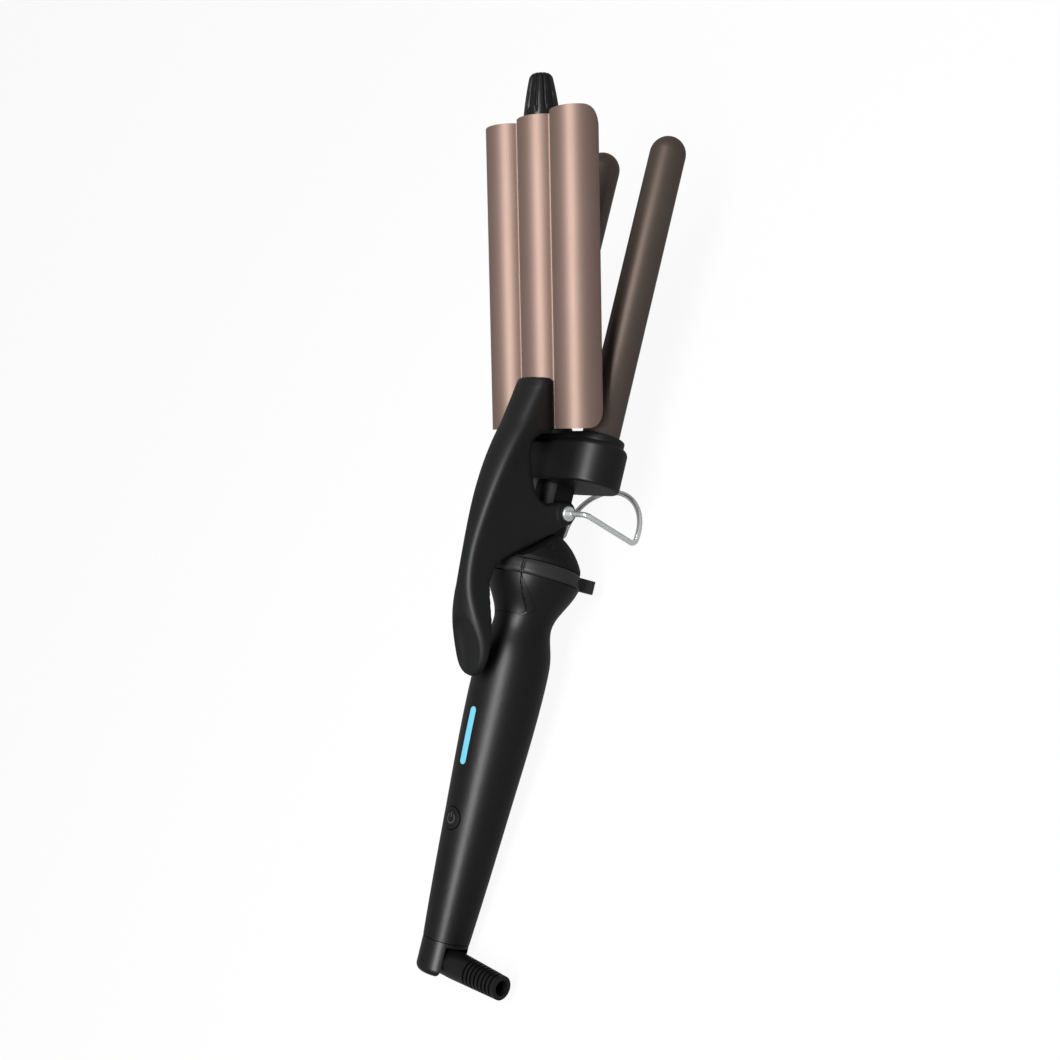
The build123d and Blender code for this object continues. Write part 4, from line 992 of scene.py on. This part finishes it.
def buildScrewTree():
    tree, size = shapeTree("panScrew", [*screwSets["handleScrews"]["sizes"], *screws["head"]])
    calc = partial(mathNode, tree)
    head = cylinder(
        tree, size["Head Radius"], size["Head Height"],
        {
            "Vertices": screws["around"], "Side Segments": screws["sideRings"],
            "Fill Segments": screws["faceRings"],
        },
        fill_type="TRIANGLE_FAN",
    )
    # the head's face, at the low end, falls away towards its rim
    spot = position(tree)
    squares = calc("ADD", calc("MULTIPLY", spot["X"], spot["X"]), calc("MULTIPLY", spot["Y"], spot["Y"]))
    away = calc("DIVIDE", calc("SQRT", squares), size["Head Radius"])
    dome = calc("MULTIPLY", size["Crown"], size["Head Height"])
    fall = calc("MULTIPLY", calc("POWER", away, screws["domePower"]), dome)
    low = calc("LESS_THAN", spot["Z"], 0.0)
    domed = addNode(tree, "GeometryNodeSetPosition", {
        "Geometry": head, "Offset": combined(tree, {"Z": calc("MULTIPLY", fall, low)}),
    })
    bars = []
    for along, across in (("X", "Y"), ("Y", "X")):
        bar = addNode(tree, "GeometryNodeMeshCube", {"Size": combined(tree, {
            along: calc("MULTIPLY", size["Head Radius"], size["Recess Reach"]),
            across: calc("MULTIPLY", size["Head Radius"], size["Recess Width"]),
            "Z": calc("MULTIPLY", calc("MULTIPLY", size["Head Height"], size["Recess Depth"]), 2.0),
        })})
        bars.append(lifted(tree, bar.outputs["Mesh"], calc("MULTIPLY", size["Head Height"], -0.5)))
    cut = addNode(tree, "GeometryNodeMeshBoolean", operation="DIFFERENCE", solver="EXACT")
    feed(tree, cut, {"Self Intersection": True, "Mesh 1": domed.outputs["Geometry"], "Mesh 2": bars})
    shank = cylinder(tree, size["Shank Radius"], size["Shank Length"], {"Vertices": screws["shankAround"]})
    tall = calc("ADD", size["Head Height"], size["Shank Length"])
    raised = lifted(tree, shank, calc("MULTIPLY", tall, 0.5))
    whole = addNode(tree, "GeometryNodeJoinGeometry", {"Geometry": [cut.outputs["Mesh"], raised]})
    spread = addNode(tree, "GeometryNodeInstanceOnPoints", {
        "Points": size["Geometry"], "Instance": whole.outputs["Geometry"],
    })
    return endTree(tree, size, spread.outputs["Instances"])


# The lowest point of each screw in the node's own mesh
def seatHeights(screwSet):
    back = screwSet["matrix"].inverted()
    points = [back @ vert.co for vert in nodes[screwSet["node"]].data.vertices]
    return [
        min(point.z for point in points if hypot(point.x - x, point.y - y) < screws["reach"])
        for x, y in screwSet["seats"]
    ]


def makeScrews():
    tree = buildScrewTree()
    for name, screwSet in screwSets.items():
        rise = screwSet["sizes"]["Head Height"] / 2
        heights = seatHeights(screwSet)
        places = [(x, y, height + rise) for (x, y), height in zip(screwSet["seats"], heights)]
        seats = bpy.data.meshes.new(name)
        seats.from_pydata(places, [], [])
        worker = addObject(name, seats)
        setModifier(worker, tree, {**screwSet["sizes"], **screws["head"], "Finish": finishes["darkSteel"]})
        mesh = settle(name, worker, screwSet["matrix"])
        piece = addMesh(name, mesh, "darkSteel", screws["sharpAngle"])
        join(piece, screwSet["body"], "steel", screwSet["node"])


makeScrews()
print("screws set:", len(screwSets))


# Studio: pale floor, a soft lamp, white beyond
studio = {
    "floorSize": 8.0,
    "floorColour": (0.72, 0.72, 0.72),
    "floorWhite": 0.93,           # how much of the floor's own shade gives way to plain white
    "fill": 0.30,                 # the world's light on the object
    "skyMirrored": 0.08,          # how bright the world stands in glossy surfaces
    "floorMirrored": 0.23,        # and how bright the floor does
    "middle": (0.0, 0.0, 0.045),  # of the object, where the lamps point
}


# How bright the white surroundings are for the ray that meets them
def whiteLevel(tree, glossyLevel):
    rays = addNode(tree, "ShaderNodeLightPath").outputs
    mirrored = mathNode(tree, "MULTIPLY", rays["Is Glossy Ray"], glossyLevel)
    seen = mathNode(tree, "MAXIMUM", mirrored, rays["Is Camera Ray"])
    return mathNode(tree, "MAXIMUM", seen, rays["Is Transmission Ray"])


def makeFloor():
    half = studio["floorSize"] / 2
    mesh = bpy.data.meshes.new("floor")
    corners = [(-half, -half, 0), (half, -half, 0), (half, half, 0), (-half, half, 0)]
    mesh.from_pydata(corners, [], [(0, 1, 2, 3)])
    floor = addObject("floor", mesh)
    material, tree, shader = makeMaterial("paleFloor")
    feed(tree, shader, {
        "Base Color": (*studio["floorColour"], 1.0), "Roughness": 0.9, "Specular IOR Level": 0.1,
    })
    level = whiteLevel(tree, studio["floorMirrored"])
    white = addNode(tree, "ShaderNodeEmission", {"Strength": level})
    share = mathNode(tree, "MULTIPLY", mathNode(tree, "GREATER_THAN", level, 0.0), studio["floorWhite"])
    blend = addNode(tree, "ShaderNodeMixShader", {
        "Fac": share, 1: shader.outputs["BSDF"], 2: white.outputs["Emission"],
    })
    feed(tree, tree.nodes["Material Output"], {"Surface": blend.outputs["Shader"]})
    mesh.materials.append(material)


def makeWorld():
    world = bpy.data.worlds.new("studio")
    bpy.context.scene.world = world
    world.use_nodes = True
    tree = world.node_tree
    brightness = mathNode(tree, "MAXIMUM", whiteLevel(tree, studio["skyMirrored"]), studio["fill"])
    feed(tree, tree.nodes["Background"], {"Color": (1.0, 1.0, 1.0, 1.0), "Strength": brightness})


# The camera's own axes and place, drawn like the tool, with the lamps set out on them
camera = {
    "right": (0.23445732, -0.66950212, -0.70483805),
    "up": (0.96123409, 0.05142799, 0.27089516),
    "toward": (-0.14511648, -0.74102772, 0.65560593),
    "place": (-78.1134, -350.8647, 318.2766),
    "focalPixels": 1206.43,
    "imagePixels": 1060.0,
    "sensor": 36.0,
    "clip": (0.01, 20.0),
}
lamps = {
    # name: (right, up, toward, width, length, watts) from the middle of the object
    "key": (-0.36, 0.10, 0.76, 0.26, 0.90, 11.5),
}


def viewAxes():
    drawn = Matrix((camera["right"], camera["up"], camera["toward"])).transposed()
    return onHandle.to_3x3().normalized() @ drawn


def makeCamera():
    data = bpy.data.cameras.new("camera")
    data.sensor_width = camera["sensor"]
    data.lens = camera["sensor"] * camera["focalPixels"] / camera["imagePixels"]
    data.clip_start, data.clip_end = camera["clip"]
    seen = addObject("camera", data)
    seen.matrix_world = Matrix.Translation(onHandle @ Vector(camera["place"])) @ viewAxes().to_4x4()
    bpy.context.scene.camera = seen


def makeLamps():
    axes = viewAxes()
    for name, (right, up, toward, width, length, watts) in lamps.items():
        data = bpy.data.lights.new(name, "AREA")
        data.shape = "RECTANGLE"
        data.size, data.size_y = width, length
        data.energy = watts
        lamp = addObject(name, data)
        offset = axes @ Vector((right, up, toward))
        away = offset.normalized()
        long = axes @ Vector((0.0, 1.0, 0.0))
        long = (long - away * long.dot(away)).normalized()
        turned = Matrix((long.cross(away), long, away)).transposed().to_4x4()
        lamp.matrix_world = Matrix.Translation(Vector(studio["middle"]) + offset) @ turned
        lamp.visible_camera = False


makeFloor()
makeWorld()
makeCamera()
makeLamps()
print("studio set")
